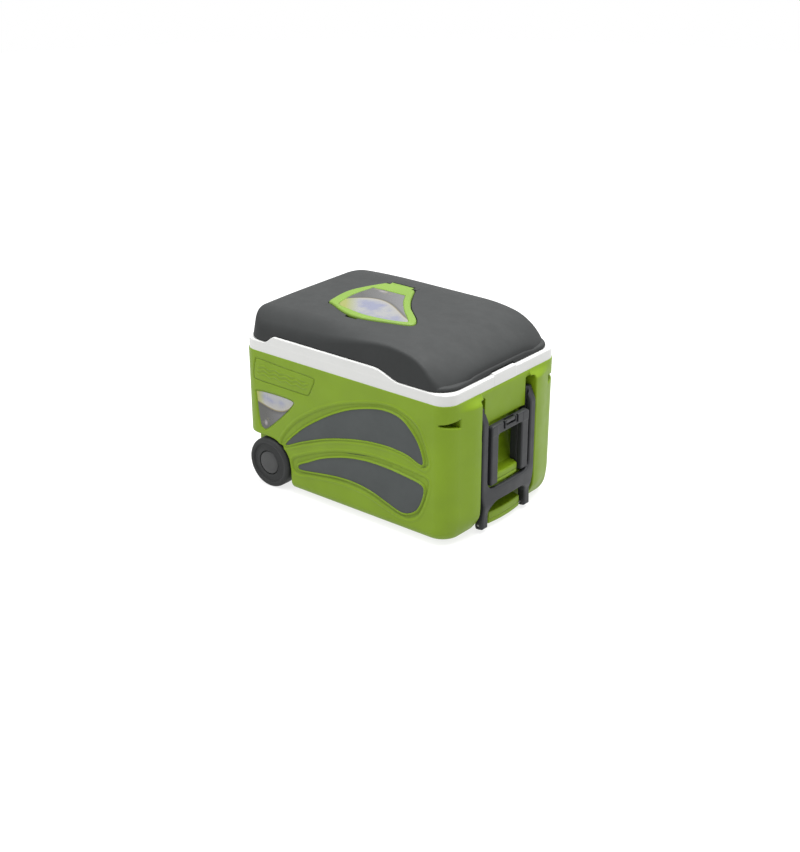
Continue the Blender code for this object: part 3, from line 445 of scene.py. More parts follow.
GREEN_COLOUR = (0.122, 0.198, 0.0020)
MATERIALS = {
    "green": moulded("green_moulded", GREEN_COLOUR, 0.48, 900.0, 0.00005, specular=0.26),
    "hatch_green": moulded("hatch_green_moulded", (0.086, 0.150, 0.012), 0.50, 1200.0, 0.00003,
                           specular=0.30),
    "lid": moulded("lid_grained", (0.0195, 0.0207, 0.0207), 0.66, 1600.0, 0.00007,
                   wear=1.2, patch=0.06, specular=0.16),
    "inlay": moulded("inlay_grained", (0.038, 0.043, 0.043), 0.60, 2000.0, 0.00006, wear=1.2, specular=0.30),
    "frame": moulded("frame_moulded", (0.017, 0.018, 0.020), 0.50, 1500.0, 0.00004, wear=1.35, specular=0.30),
    "button": moulded("button_moulded", (0.010, 0.011, 0.012), 0.40, 1500.0, 0.00004,
                      wear=1.35, specular=0.40),
    "wheel": moulded("wheel_moulded", (0.016, 0.017, 0.017), 0.56, 1100.0, 0.00006,
                     wear=1.35, patch=0.08, specular=0.22),
    "white": moulded("white_moulded", (0.430, 0.432, 0.422), 0.38, 900.0, 0.00003, wear=1.03, patch=0.015),
    "foam": moulded("foam_core_skin", (0.480, 0.410, 0.260), 0.90, 420.0, 0.00060, wear=1.05, patch=0.08),
}


# Chest body --------------------------------------------------------------------
def edge_setback(rise, height, depth):
    """How far an elliptical rounding of the bottom edge stands back at this rise."""
    share = np.clip(1.0 - rise / height, 0.0, 1.0)
    return depth * (1.0 - np.sqrt(np.maximum(1.0 - share ** 2, 0.0)))


UPPER_INLAY = spline_loop([(-0.172, 0.121), (-0.119, 0.144), (-0.053, 0.170), (0.010, 0.188), (0.071, 0.200),
                           (0.130, 0.205), (0.186, 0.201), (0.230, 0.188), (0.225, 0.223), (0.202, 0.258),
                           (0.169, 0.282), (0.122, 0.287), (0.066, 0.275), (0.009, 0.254), (-0.053, 0.220),
                           (-0.119, 0.174)])
LOWER_INLAY = spline_loop([(-0.130, 0.070), (-0.096, 0.074), (-0.053, 0.081), (-0.003, 0.087), (0.045, 0.087),
                           (0.093, 0.079), (0.136, 0.065), (0.174, 0.055), (0.205, 0.066), (0.223, 0.088),
                           (0.234, 0.122), (0.228, 0.139), (0.186, 0.146), (0.129, 0.151), (0.070, 0.150),
                           (0.009, 0.140), (-0.056, 0.119), (-0.102, 0.096), (-0.132, 0.080)])
UPPER_MOAT = spline_loop([(-0.189, 0.111), (-0.178, 0.110), (-0.115, 0.137), (-0.050, 0.163), (0.012, 0.181),
                          (0.073, 0.193), (0.130, 0.198), (0.187, 0.194), (0.232, 0.180), (0.245, 0.186),
                          (0.249, 0.199), (0.235, 0.245), (0.214, 0.279), (0.170, 0.299), (0.119, 0.301),
                          (0.044, 0.284), (-0.018, 0.262), (-0.082, 0.229), (-0.144, 0.183), (-0.184, 0.136)])
LOWER_MOAT = spline_loop([(-0.145, 0.056), (-0.090, 0.064), (-0.007, 0.074), (0.068, 0.070), (0.128, 0.053),
                          (0.170, 0.043), (0.198, 0.046), (0.221, 0.063), (0.239, 0.101), (0.250, 0.143),
                          (0.244, 0.160), (0.220, 0.164), (0.152, 0.169), (0.083, 0.168), (0.009, 0.156),
                          (-0.055, 0.137), (-0.121, 0.109), (-0.155, 0.088)])
LABEL = spline_loop([(-0.251, 0.160), (-0.243, 0.145), (-0.228, 0.148), (-0.184, 0.187), (-0.151, 0.222),
                     (-0.149, 0.236), (-0.205, 0.238), (-0.255, 0.234), (-0.258, 0.222)])
PLATE = spline_loop([(-0.257, 0.314), (-0.248, 0.317), (-0.169, 0.313), (-0.086, 0.310), (-0.078, 0.302),
                     (-0.085, 0.285), (-0.094, 0.268), (-0.106, 0.263), (-0.180, 0.263), (-0.255, 0.264),
                     (-0.265, 0.273), (-0.263, 0.292)])

upper_inlay_at = Outline(UPPER_INLAY)
lower_inlay_at = Outline(LOWER_INLAY)
upper_moat_at = Outline(UPPER_MOAT)
lower_moat_at = Outline(LOWER_MOAT)
label_at = Outline(LABEL)
plate_at = Outline(PLATE)

LIP_WIDTH = 0.0030
LIP_HEIGHT = 0.0011
RIDGE_HEIGHT = 0.0010
MOAT_DEPTH = 0.0024
BED_DEPTH = 0.0017


def sunk_inlay(x, z, inlay_at, moat_at):
    """How deep the side is sunk at (x, z) by one inlay's bed, the raised lip round it and its moat."""
    edge = inlay_at(x, z)
    outer = -moat_at(x, z)
    moat = MOAT_DEPTH * ease(outer / 0.0045) * ease((edge - LIP_WIDTH) / 0.0035)
    lip = LIP_HEIGHT * ease((edge + 0.0004) / 0.0008) * ease((LIP_WIDTH + 0.0012 - edge) / 0.0020)
    bed = BED_DEPTH * ease((0.0006 - edge) / 0.0010)
    outer_ridge = RIDGE_HEIGHT * ridge(outer + 0.0030, 0.0090)
    return np.maximum(moat, bed) - lip - outer_ridge


def sunk_side(x, z):
    """Both sides: the two leaf-shaped inlays."""
    return sunk_inlay(x, z, upper_inlay_at, upper_moat_at) + sunk_inlay(x, z, lower_inlay_at, lower_moat_at)


def sunk_front(x, z):
    """The front only: the label's sunk place and the plain framed emblem above it."""
    edge = label_at(x, z)
    depth = 0.0023 * ease((0.0055 - edge) / 0.0040)
    frame_edge = plate_at(x, z)
    depth += 0.0020 * ridge(frame_edge, 0.0050)
    waves = 0.0
    for level in (0.281, 0.2905, 0.300):
        wave = z - level - 0.0022 * np.sin((x + 0.24) * 2 * math.pi / 0.034)
        waves = waves + ridge(wave, 0.0058)
    depth -= 0.0011 * waves * ease((-frame_edge - 0.010) / 0.004)
    return depth


CHUTE = Outline([(0.360, 0.1305), (0.360, 0.2538), (0.262, 0.2538), (0.2565, 0.247), (0.255, 0.238),
                 (0.255, 0.185), (0.2565, 0.172), (0.260, 0.160), (0.264, 0.150), (0.270, 0.142),
                 (0.276, 0.136), (0.284, 0.1315)])
SCOOP = Outline([(0.360, 0.040), (0.360, 0.1005), (0.268, 0.1005), (0.2635, 0.097), (0.262, 0.090),
                 (0.262, 0.050), (0.2645, 0.043), (0.270, 0.040)])
HOOK_SLOT = Outline([(-0.212, 0.290), (-0.164, 0.281), (-0.164, 0.300)])
ARCH = Outline([(WHEEL_X + ARCH_R, -0.05)]
               + [(WHEEL_X + ARCH_R * math.cos(a), WHEEL_R + ARCH_R * math.sin(a))
                  for a in np.linspace(0, math.pi / 2, 17)]
               + [(-0.36, WHEEL_R + ARCH_R), (-0.36, -0.05)])


def lip_ledge(x, y, z, half_w, low, high, proud, low_w):
    """Ledge across the handle bay; its front edge bows out and carries a double bead."""
    middle = (low + high) / 2
    bead = 0.0013 * ridge(z - middle + 0.003, 0.0060)
    edge = 0.2950 + 0.0055 * (1.0 - np.clip(np.abs(y) / half_w, 0.0, 1.2) ** 2) - bead
    edge = edge + proud * ease((low_w - np.abs(y)) / 0.004)
    form = both(x - edge, np.abs(y) - half_w, 0.005)
    return both(both(form, slab(z, low, high), 0.004), 0.276 - x)


def end_cuts(x, y, z):
    """Everything cut out of the two ends: handle bay, arm slots, chute, scoop, hand-hold and hook slots."""
    wide = np.abs(y)
    bay = both(both(BAY_X - x, wide - BAY_HALF_W, 0.006), z - BAY_TOP, 0.006)
    slots = both(both(BAY_X - x, slab(wide, 0.0765, 0.1005), 0.005), slab(z, 0.230, 0.322), 0.006)
    chute = both(CHUTE(x, z), wide - 0.070, 0.012)
    scoop = both(SCOOP(x, z), wide - 0.062, 0.010)
    hold = both(rounded_rect(y, z, -0.062, 0.062, 0.222, 0.262, 0.014), x + 0.274, 0.008)
    hooks = both(HOOK_SLOT(-wide, z), 0.272 - x, 0.003)
    cut = either(either(bay, slots, 0.003), either(chute, scoop), 0.008)
    panel = both(both(0.3005 - x, wide - 0.0885, 0.002), 0.240 - z)
    cut = either(cut, panel)
    return either(cut, either(hold, hooks))


def wheel_cuts(x, y, z):
    arches = both(ARCH(x, z), ARCH_Y - np.abs(y), 0.010)
    notch = both(np.abs(x - WHEEL_X) - AXLE_ROOM_R, z - WHEEL_R)
    axle = either(notch, np.hypot(x - WHEEL_X, z - WHEEL_R) - AXLE_ROOM_R)
    return either(arches, axle)


def end_bulge(y, z):
    """How far the handle end stands out beside the tow arms."""
    across = ease((0.185 - np.abs(y)) / 0.075)
    return END_BULGE * across * ease((z - 0.006) / 0.050) * ease((0.3365 - z) / 0.024)


def chest_form(x, y, z, sunk=0.0):
    """The chest's outer form: rounded corners, drafted sides, a rounded bottom edge and a chin."""
    rise = z - FLOOR_Z
    draft = SIDE_DRAFT * np.clip((SHELL_TOP - z) / (SHELL_TOP - FLOOR_Z), 0.0, 1.0)
    foot = edge_setback(rise, EDGE_R, EDGE_R)
    chin = np.maximum(foot, edge_setback(rise, CHIN_H, CHIN_D))
    half_w = HALF_W - foot - draft
    low_x = -HALF_L + foot
    high_x = HALF_L - chin + end_bulge(y, z)
    middle, half_l = (low_x + high_x) / 2, (high_x - low_x) / 2
    qx = np.abs(x - middle) - half_l + CORNER_R
    qy = np.abs(y) + sunk - half_w + CORNER_R
    plan = np.minimum(np.maximum(qx, qy), 0.0) + np.hypot(np.maximum(qx, 0.0), np.maximum(qy, 0.0)) - CORNER_R
    return both(plan, FLOOR_Z - z, 0.004)


SHELL_WALL = 0.0062


def outer_shell(x, y, z):
    sunk = np.zeros_like(x)
    side = np.abs(y) > 0.150
    if side.any():
        sx, sz = x[side], z[side]
        depth = sunk_side(sx, sz)
        front = y[side] < 0
        depth[front] += sunk_front(sx[front], sz[front])
        sunk[side] = depth * ease((np.abs(y[side]) - 0.160) / 0.030)
    cuts = either(end_cuts(x, y, z), wheel_cuts(x, y, z))
    outside = without(chest_form(x, y, z, sunk), cuts, 0.004)
    inside = without(chest_form(x, y, z), cuts) + SHELL_WALL
    form = both(outside, z - SHELL_TOP, 0.002)
    form = without(form, inside)
    form = either(form, lip_ledge(x, y, z, 0.0735, 0.1060, 0.1305, 0.0100, 0.0425), 0.003)
    form = either(form, lip_ledge(x, y, z, 0.0630, 0.0116, 0.0400, 0.0090, 0.0615), 0.003)
    skid = block(x, np.abs(y), z, (0.205, 0.030, 0.0), (0.250, 0.090, 0.015), 0.003)
    return either(form, skid, 0.004)




# Flat plates -------------------------------------------------------------------
def inset_loop(loop, distance):
    """Move a counter-clockwise loop inwards."""
    along = np.roll(loop, -1, axis=0) - np.roll(loop, 1, axis=0)
    along /= np.linalg.norm(along, axis=1)[:, None]
    return loop + distance * np.stack([-along[:, 1], along[:, 0]], 1)


def counter_clockwise(loop):
    after = np.roll(loop, -1, axis=0)
    area = (loop[:, 0] * after[:, 1] - after[:, 0] * loop[:, 1]).sum()
    return loop if area > 0 else loop[::-1]


def sheet(name, loop, low, high, bevel, lift, body, material, replaces=()):
    """Plate with a rounded front edge; lift(u, v, w) gives its place in the chest's frame."""
    loop = counter_clockwise(np.array(loop))
    rings = [(loop, low), (loop, high - bevel)]
    for turn in (30.0, 60.0, 90.0):
        angle = math.radians(turn)
        ring = inset_loop(loop, bevel * (1.0 - math.cos(angle)))
        rings.append((ring, high - bevel * (1.0 - math.sin(angle))))
    shape = bmesh.new()
    loops = []
    for ring, level in rings:
        loops.append([shape.verts.new(lift(u, v, level)) for u, v in ring])
    count = len(loop)
    for lower, upper in zip(loops, loops[1:]):
        for i in range(count):
            j = (i + 1) % count
            shape.faces.new((lower[i], lower[j], upper[j], upper[i]))
    shape.faces.new(loops[0][::-1])
    shape.faces.new(loops[-1])
    bmesh.ops.triangulate(shape, faces=[face for face in shape.faces if len(face.verts) > 4])
    bmesh.ops.recalc_face_normals(shape, faces=shape.faces)
    mesh = bpy.data.meshes.new(name)
    shape.to_mesh(mesh)
    shape.free()
    mesh.shade_smooth()
    mesh.set_sharp_from_angle(angle=math.radians(32.0))
    part = bpy.data.objects.new(name, mesh)
    bpy.context.scene.collection.objects.link(part)
    return place(part, body, material, replaces)


def make_inlays():
    for label, side in (("front", -1), ("rear", 1)):
        def lift(x, z, out):
            draft = SIDE_DRAFT * (SHELL_TOP - z) / (SHELL_TOP - FLOOR_Z)
            return x, side * (HALF_W - draft + out), z

        for level, loop in (("upper", UPPER_INLAY), ("lower", LOWER_INLAY)):
            sheet("%s_%s_inlay_plate" % (label, level), loop, -0.0022, -0.0002, 0.0007, lift, "chest",
                  MATERIALS["inlay"], ["%s_%s_inlay" % (label, level)])


# Tub and rim -------------------------------------------------------------------
RIM_INSET = 0.0015
RIM_WALL = 0.0050
TUB_X = (-0.266, 0.243)
TUB_HALF_W = 0.1735
TUB_FLOOR = 0.050
TUB_STEP_X = -0.132
TUB_STEP_Z = 0.148
TUB_R = 0.045
TUB_WALL = 0.0045
BAND_BACK_Y = -0.1985
POCKET_HALF_L = 0.0265


def swell(x, low, high):
    """Cosine step from nothing at low to one at high."""
    return (1.0 - np.cos(math.pi * np.clip((x - low) / (high - low), 0.0, 1.0))) / 2


def front_rise(x):
    """How much taller the rim band is along the front: a short rise at the wheel end, a long fall."""
    return FRONT_RAISE * (swell(x, -0.232, -0.196) - swell(x, 0.090, 0.172))


def tub_space(x, y, z, grow=0.0):
    """Room inside the tub: a deep part, and a shallow part over the wheels."""
    forms = []
    for low_x, floor, radius in ((TUB_STEP_X, TUB_FLOOR, 0.030), (TUB_X[0], TUB_STEP_Z, TUB_R)):
        taper = edge_setback(z - floor + grow, 0.016, 0.014) - grow
        half_w = TUB_HALF_W - taper
        plan = rounded_rect(x, y, low_x + taper, TUB_X[1] - taper, -half_w, half_w, radius)
        forms.append(both(plan, floor - grow - z, 0.002))
    return either(*forms, 0.012)


def hinge_pocket(x, y, z, grow=0.0):
    sides = both(np.abs(np.abs(x) - LID_HINGE_X) - POCKET_HALF_L - grow, 0.1955 - grow - y)
    return both(sides, 0.3375 - grow - z)


def inner_liner(x, y, z):
    plan = rounded_rect(x, y, RIM_INSET - HALF_L, HALF_L - RIM_INSET, RIM_INSET - HALF_W, HALF_W - RIM_INSET,
                        CORNER_R - RIM_INSET)
    level = both(plan, z - RIM_TOP, 0.004)
    raised = both(both(plan, y - BAND_BACK_Y), z - RIM_TOP - front_rise(x), 0.003)
    tab = both(both(both(plan, 0.2872 - x), np.abs(y) - 0.0405), z - RIM_TOP - 0.0032, 0.003)
    band = both(either(either(level, raised, 0.001), tab, 0.001), SHELL_TOP - 0.0015 - z)
    room = both(plan + RIM_WALL, z - RIM_TOP + RIM_WALL)
    room = without(room, hinge_pocket(x, y, z, RIM_WALL))
    band = without(without(band, hinge_pocket(x, y, z)), room)
    walls = both(tub_space(x, y, z, TUB_WALL), z - RIM_TOP + 0.0005)
    return without(either(band, walls, 0.001), tub_space(x, y, z), 0.004)


# Lid ---------------------------------------------------------------------------
LID_WALL = 0.0045
LID_TILT = 0.17
SHOULDER_DROP = 0.0250
SHOULDER_W = 0.046

HATCH_OUTLINE = spline_loop([(-0.134, -0.078), (-0.070, -0.106), (-0.018, -0.110), (0.048, -0.094),
                             (0.092, -0.080), (0.098, -0.064), (0.078, -0.036), (0.029, 0.008),
                             (-0.004, 0.048), (-0.028, 0.086), (-0.040, 0.106), (-0.050, 0.112),
                             (-0.122, 0.112), (-0.134, 0.104), (-0.156, 0.050), (-0.164, 0.003),
                             (-0.154, -0.058), (-0.146, -0.074)])
HATCH_LABEL_OUTLINE = spline_loop([(-0.104, -0.078), (-0.030, -0.090), (0.034, -0.084), (0.076, -0.070),
                                   (0.070, -0.056), (0.026, -0.014), (-0.014, 0.032), (-0.034, 0.062),
                                   (-0.046, 0.068), (-0.124, 0.066), (-0.132, 0.056), (-0.136, 0.004),
                                   (-0.128, -0.044), (-0.120, -0.068)])
OPENING_OUTLINE = spline_loop([(-0.120, -0.064), (-0.064, -0.088), (-0.010, -0.095), (0.044, -0.080),
                               (0.068, -0.066), (0.052, -0.034), (0.012, 0.004), (-0.020, 0.044),
                               (-0.044, 0.082), (-0.062, 0.094), (-0.110, 0.094), (-0.126, 0.082),
                               (-0.142, 0.046), (-0.150, 0.002), (-0.140, -0.044)])
hatch_at = Outline(HATCH_OUTLINE)
hatch_label_at = Outline(HATCH_LABEL_OUTLINE)
opening_at = Outline(OPENING_OUTLINE)


def lid_top(x, y):
    """Top of the lid: level, curving down at the handle end, falling to a crease along the front."""
    fall = np.clip((x - 0.100) / 0.184, 0.0, 1.0)
    drop = 1.0 - np.maximum(1.0 - fall ** 2, 0.0) ** 0.625
    tail = 0.009 * np.maximum((-x - 0.10) / 0.20, 0.0) ** 2
    tail = tail + 0.010 * np.clip((-x - 0.258) / 0.034, 0.0, 1.2) ** 2
    crown = 0.005 * (np.minimum(y, 0.0) / LID_HALF_W) ** 2
    crown = crown + 0.010 * np.clip((y - 0.140) / 0.060, 0.0, 1.2) ** 2
    toward_end = 0.030 * np.clip((x - 0.185) / 0.090, 0.0, 1.1) ** 2
    corner = toward_end * np.clip((np.abs(y) - 0.080) / 0.110, 0.0, 1.1) ** 2
    shoulder = 0.001 + SHOULDER_DROP * (1.0 - ease((x + 0.12) / 0.27))
    edge = np.clip((-y - 0.192 + SHOULDER_W) / SHOULDER_W, 0.0, 1.3)
    level = LID_TOP - crown - tail - shoulder * edge ** 2 - 0.0640 * drop
    return np.maximum(level - corner, np.minimum(level, LID_EDGE_Z + 0.010))


def lid_form(x, y, z):
    plan = rounded_rect(x, y, LID_X[0], LID_X[1], -LID_HALF_W, LID_HALF_W, LID_R)
    side = (plan + LID_TILT * np.maximum(z - LID_EDGE_Z, 0.0)) / math.hypot(1.0, LID_TILT)
    h = 0.002
    steep_x = (lid_top(x + h, y) - lid_top(x - h, y)) / (2 * h)
    steep_y = (lid_top(x, y + h) - lid_top(x, y - h)) / (2 * h)
    top = (z - lid_top(x, y)) / np.sqrt(1.0 + np.minimum(steep_x ** 2 + steep_y ** 2, 12.0))
    return both(side, top, 0.007)


def lid_cuts(x, y, z):
    """The hatch's seat, opening, hinge trough and finger notch, and room for the raised rim."""
    seat = both(hatch_at(x, y) - 0.0012, HATCH_SEAT_Z - z)
    low_x, high_x = HATCH_HINGE_X
    trough = block(x, y, z, (low_x, 0.095, 0.4290), (high_x, 0.1305, 0.470), 0.001)
    notch = block(x, y, z, (-0.062, -0.119, 0.4230), (-0.028, -0.098, 0.470), 0.002)
    band = both(y + 0.1970, z - RIM_TOP - front_rise(x) - 0.0006)
    end_notch = both(0.2865 - x, both(np.abs(y) - 0.0420, z - RIM_TOP - 0.0072, 0.004))
    cuts = either(either(seat, opening_at(x, y)), either(trough, notch))
    return either(cuts, either(band, end_notch))


def lid_cover(x, y, z):
    form, cuts = lid_form(x, y, z), lid_cuts(x, y, z)
    outside = without(both(form, LID_EDGE_Z - z, 0.003), cuts, 0.0015)
    return without(outside, without(form, cuts) + LID_WALL)


def lid_foam(x, y, z):
    inside = without(lid_form(x, y, z), lid_cuts(x, y, z)) + LID_WALL + 0.0008
    return both(inside, 0.3672 - z)


def lid_knuckle(centre_x):
    def field(x, y, z):
        from_axis = np.hypot(y - LID_HINGE_Y, z - LID_HINGE_Z)
        web = both(slab(y, 0.2014, 0.2050), slab(z, LID_HINGE_Z, 0.3755), 0.001)
        form = either(from_axis - 0.0044, web, 0.003)
        return without(both(form, np.abs(x - centre_x) - 0.0142, 0.001), from_axis - 0.0020)
    return field


def hatch_ear(low_x, high_x):
    def field(x, y, z):
        return block(x, y, z, (low_x, 0.1177, 0.4284), (high_x, 0.1310, 0.4405), 0.0018)
    return field


def hatch_door(x, y, z):
    """Hatch with soft edges, a sunk bed for its label, and a hinge lug in its rear notch."""
    low_x, high_x = HATCH_HINGE_X
    plate = both(hatch_at(x, y), slab(z, 0.4310, HATCH_TOP_Z), 0.0065)
    rim = hatch_label_at(x, y) - 0.0006
    plate = without(plate, both(rim, 0.4408 - z, 0.0008), 0.0024)
    room = block(x, y, z, (low_x - 0.003, 0.1085, 0.42), (high_x + 0.003, 0.14, 0.47), 0.001)
    barrel = np.hypot(y - HATCH_HINGE_Y, z - HATCH_HINGE_Z) - 0.0037
    web = both(slab(y, 0.1060, HATCH_HINGE_Y), slab(z, 0.4330, 0.4408), 0.002)
    lug = both(either(barrel, web, 0.002), slab(x, low_x + 0.0125, high_x - 0.0125), 0.002)
    lug = both(lug, 0.4312 - z)
    return either(without(plate, room, 0.001), lug, 0.002)


# Labels ------------------------------------------------------------------------
def mark(part, name, function):
    """Store a function of the chest-frame place as a value on every vertex."""
    points = points_of(part.data) - np.array([SHIFT_X, 0.0, 0.0])
    layer = part.data.attributes.new(name, "FLOAT", "POINT")
    layer.data.foreach_set("value", function(*points.T).astype(np.float32))


def marked(tree, name):
    node = new_node(tree, "ShaderNodeAttribute")
    node.attribute_name = name
    return node.outputs["Fac"]


def label_material(name, strength):
    """Plain printed label: a pale lens-shaped field, a gold line, and a dark field with a pale flash."""
    material, tree, shader = material_nodes(name, 0.28, 0.0, 0.6)
    lens, along, flash = (marked(tree, key) for key in ("lens", "along", "flash"))
    tint = ramp(tree, noise(tree, 26.0, 2.0), 0.42, 0.62)
    pale = blend_colours(tree, tint, (0.364, 0.369, 0.374), (0.239, 0.255, 0.374))
    pale = blend_colours(tree, ramp(tree, lens, 0.004, 0.020), (0.385, 0.374, 0.343), pale)
    pale = blend_colours(tree, ramp(tree, along, 0.22, 0.02), pale, (0.322, 0.354, 0.042))
    dark = blend_colours(tree, ramp(tree, along, 0.25, 0.95), (0.055, 0.055, 0.049), (0.172, 0.172, 0.182))
    dark = blend_colours(tree, ramp(tree, lens, -0.010, 0.0), dark, (0.031, 0.029, 0.026))
    streak = ramp(tree, noise(tree, 70.0, 3.0), 0.50, 0.66)
    glint = new_node(tree, "ShaderNodeMath", operation="MULTIPLY")
    tree.links.new(streak, glint.inputs[0])
    tree.links.new(ramp(tree, flash, 0.10, 0.55), glint.inputs[1])
    dark = blend_colours(tree, glint.outputs[0], dark, (0.291, 0.260, 0.125))
    dark = blend_colours(tree, ramp(tree, flash, 0.55, 1.0), dark, (0.385, 0.348, 0.354))
    base = blend_colours(tree, ramp(tree, lens, -0.0006, 0.0006), dark, pale)
    line = new_node(tree, "ShaderNodeMath", operation="ABSOLUTE")
    tree.links.new(lens, line.inputs[0])
    base = blend_colours(tree, ramp(tree, line.outputs[0], 0.0018, 0.0008), base, (0.218, 0.177, 0.073))
    base = blend_colours(tree, value_node(tree, strength), (0.0, 0.0, 0.0), base)
    tree.links.new(base, shader.inputs["Base Color"])
    scuff = ramp(tree, noise(tree, 45.0, 5.0), 0.3, 0.75, 0.22, 0.42)
    tree.links.new(scuff, shader.inputs["Roughness"])
    bump = new_node(tree, "ShaderNodeBump", Strength=0.3, Distance=0.00003)
    tree.links.new(noise(tree, 800.0, 2.0), bump.inputs["Height"])
    tree.links.new(bump.outputs["Normal"], shader.inputs["Normal"])
    return material


def side_of_curve(points):
    """Height above a smooth curve through (u, v) points."""
    points = np.array(points)
    fit = np.polyfit(points[:, 0], points[:, 1], 3)
    return lambda u, v: v - np.polyval(fit, u)


above_side_curve = side_of_curve([(-0.254, 0.209), (-0.216, 0.201), (-0.183, 0.202), (-0.155, 0.217)])
above_hatch_curve = side_of_curve([(-0.129, -0.040), (-0.118, -0.010), (-0.084, 0.007), (-0.024, -0.006),
                                   (0.039, -0.033), (0.083, -0.062)])


def side_label(x, y, z):
    draft = SIDE_DRAFT * (SHELL_TOP - z) / (SHELL_TOP - FLOOR_Z)
    return both(label_at(x, z), slab(HALF_W - draft + y, 0.0010, 0.0036), 0.0010)


def hatch_label(x, y, z):
    return both(hatch_label_at(x, y), slab(z, 0.4386, 0.4413), 0.0010)


def make_labels():
    side = skin("side_label_print", side_label, (-0.262, -0.2075, 0.142), (-0.144, -0.200, 0.241), 0.0010,
                "chest",
                label_material("side_label_face", 0.66), ["side_label"], 30000)
    mark(side, "lens", lambda x, y, z: above_side_curve(x, z))
    mark(side, "along", lambda x, y, z: (x + 0.258) / 0.110)
    mark(side, "flash", lambda x, y, z: 1.0 - np.hypot((x + 0.233) / 0.014, (z - 0.160) / 0.020))
    top = skin("hatch_label_print", hatch_label, (-0.138, -0.092, 0.4380), (0.078, 0.070, 0.4415), 0.0012,
               "hatch",
               label_material("hatch_label_face", 0.36), ["hatch_label"], 40000)
    mark(top, "lens", lambda x, y, z: -above_hatch_curve(x, y))
    mark(top, "along", lambda x, y, z: (x * 0.772 + y * 0.635 + 0.125) / 0.150)
    mark(top, "flash", lambda x, y, z: 1.0 - np.hypot((x + 0.096) / 0.036, (y - 0.058) / 0.016))


# Tow handle --------------------------------------------------------------------
ARM_Y = (0.0785, 0.0985)
BAR_BOW = 0.0095
PIVOT_X = 0.2985
PIVOT_Z = 0.0165
ARM_FRONT_X = 0.3150
BAIL_X = (0.3043, 0.3172)
BAIL_HALF_W = 0.0690
WINDOW_HALF_W = 0.0445
BAIL_Z = (0.112, 0.2535)
GRIP_UNDERSIDE_Z = 0.229

frame_face_at = Outline([(0.0985, 0.297), (0.0985, 0.112), (0.0982, 0.098), (0.0960, 0.084),
                         (0.0915, 0.070), (0.0885, 0.056), (0.0885, 0.044), (0.0900, 0.032),
                         (0.0905, 0.020), (0.0905, 0.0095), (0.0700, 0.0095), (0.0705, 0.036),
                         (0.0690, 0.048), (0.0650, 0.0580), (0.0580, 0.0655), (0.0490, 0.0695),
                         (0.0380, 0.0705), (-0.030, 0.0705), (-0.030, 0.1040), (0.0500, 0.1040),
                         (0.0620, 0.1050), (0.0700, 0.1082), (0.0755, 0.1135), (0.0780, 0.1200),
                         (0.0785, 0.1280), (0.0785, 0.297)], 0.02, 0.0008)


def lerp(a, b, t):
    return a + (b - a) * t


def tow_frame(x, y, z):
    """H-shaped frame: two arms, a bowed cross bar, and legs running down to the pivots."""
    wide = np.abs(y)
    bow = BAR_BOW * (1.0 - np.clip(wide / ARM_Y[1], 0.0, 1.2) ** 2)
    front = lerp(0.3150 + 0.65 * bow, ARM_FRONT_X, ease((z - 0.092) / 0.034))
    front = lerp(front, 0.3120, ease((0.070 - z) / 0.026))
    front = lerp(front, 0.3020, ease((z - 0.262) / 0.038))
    arm_back = 0.2850 + 0.0105 * ease((0.112 - z) / 0.034)
    back = lerp(0.2990 + bow, arm_back, ease((wide - 0.066) / 0.012))
    back = lerp(back, 0.2915, ease((0.066 - z) / 0.010))
    face = both(frame_face_at(wide, z), both(x - front, back - x), 0.005)
    foot = np.hypot(x - PIVOT_X, z - PIVOT_Z) - 0.0080
    foot = both(foot, slab(wide, 0.0700, 0.0905), 0.002)
    cheeks = both(slab(wide, WINDOW_HALF_W, WINDOW_HALF_W + 0.0030), slab(z, 0.0980, 0.2325))
    cheeks = both(cheeks, both(0.2850 - x + 0.0160 * ease((0.1320 - z) / 0.0010), x - 0.3012), 0.001)
    grooves = both(both(wide - 0.0838, 0.1110 - z), slab(x, 0.3010, 0.3045))
    form = without(either(either(face, foot, 0.003), cheeks), grooves)
    return without(both(form, 0.0086 - z), np.hypot(x - PIVOT_X, z - PIVOT_Z) - 0.0034)


def grip_bail(x, y, z):
    """Upside-down U with a ridge along its inner edge and two gaps beside the button in its top bar."""
    wide = np.abs(y)
    outer = rounded_rect(y, z, -BAIL_HALF_W, BAIL_HALF_W, BAIL_Z[0] - 0.02, BAIL_Z[1], 0.008)
    inner = rounded_rect(y, z, -WINDOW_HALF_W, WINDOW_HALF_W, BAIL_Z[0] - 0.05, GRIP_UNDERSIDE_Z, 0.006)
    plan = both(both(outer, -inner), BAIL_Z[0] - z, 0.002)
    low = both(plan, slab(x, BAIL_X[0], BAIL_X[1] - 0.0024), 0.003)
    high = both(both(plan, -inner - 0.0075, 0.002), slab(x, BAIL_X[0], BAIL_X[1]), 0.004)
    ends = both(both(plan, 0.046 - wide, 0.002), 0.2290 - z)
    corners = both(ends, slab(x, BAIL_X[0], BAIL_X[1] + 0.0003), 0.004)
    form = either(either(low, high, 0.001), corners, 0.002)
    gaps = both(both(np.abs(wide - 0.0245) - 0.0035, 0.2350 - z), 0.3125 - x)
    hole = block(x, y, z, (0.3056, -0.0180, 0.2400), (0.3300, 0.0180, 0.2700), 0.001)
    legs = both(slab(wide, 0.0490, 0.0580), slab(z, 0.1130, 0.2475))
    channel = both(either(legs, both(wide - 0.0580, slab(z, 0.2300, 0.2475))), slab(x, 0.30, 0.3120))
    return without(form, either(either(gaps, hole), channel), 0.001)


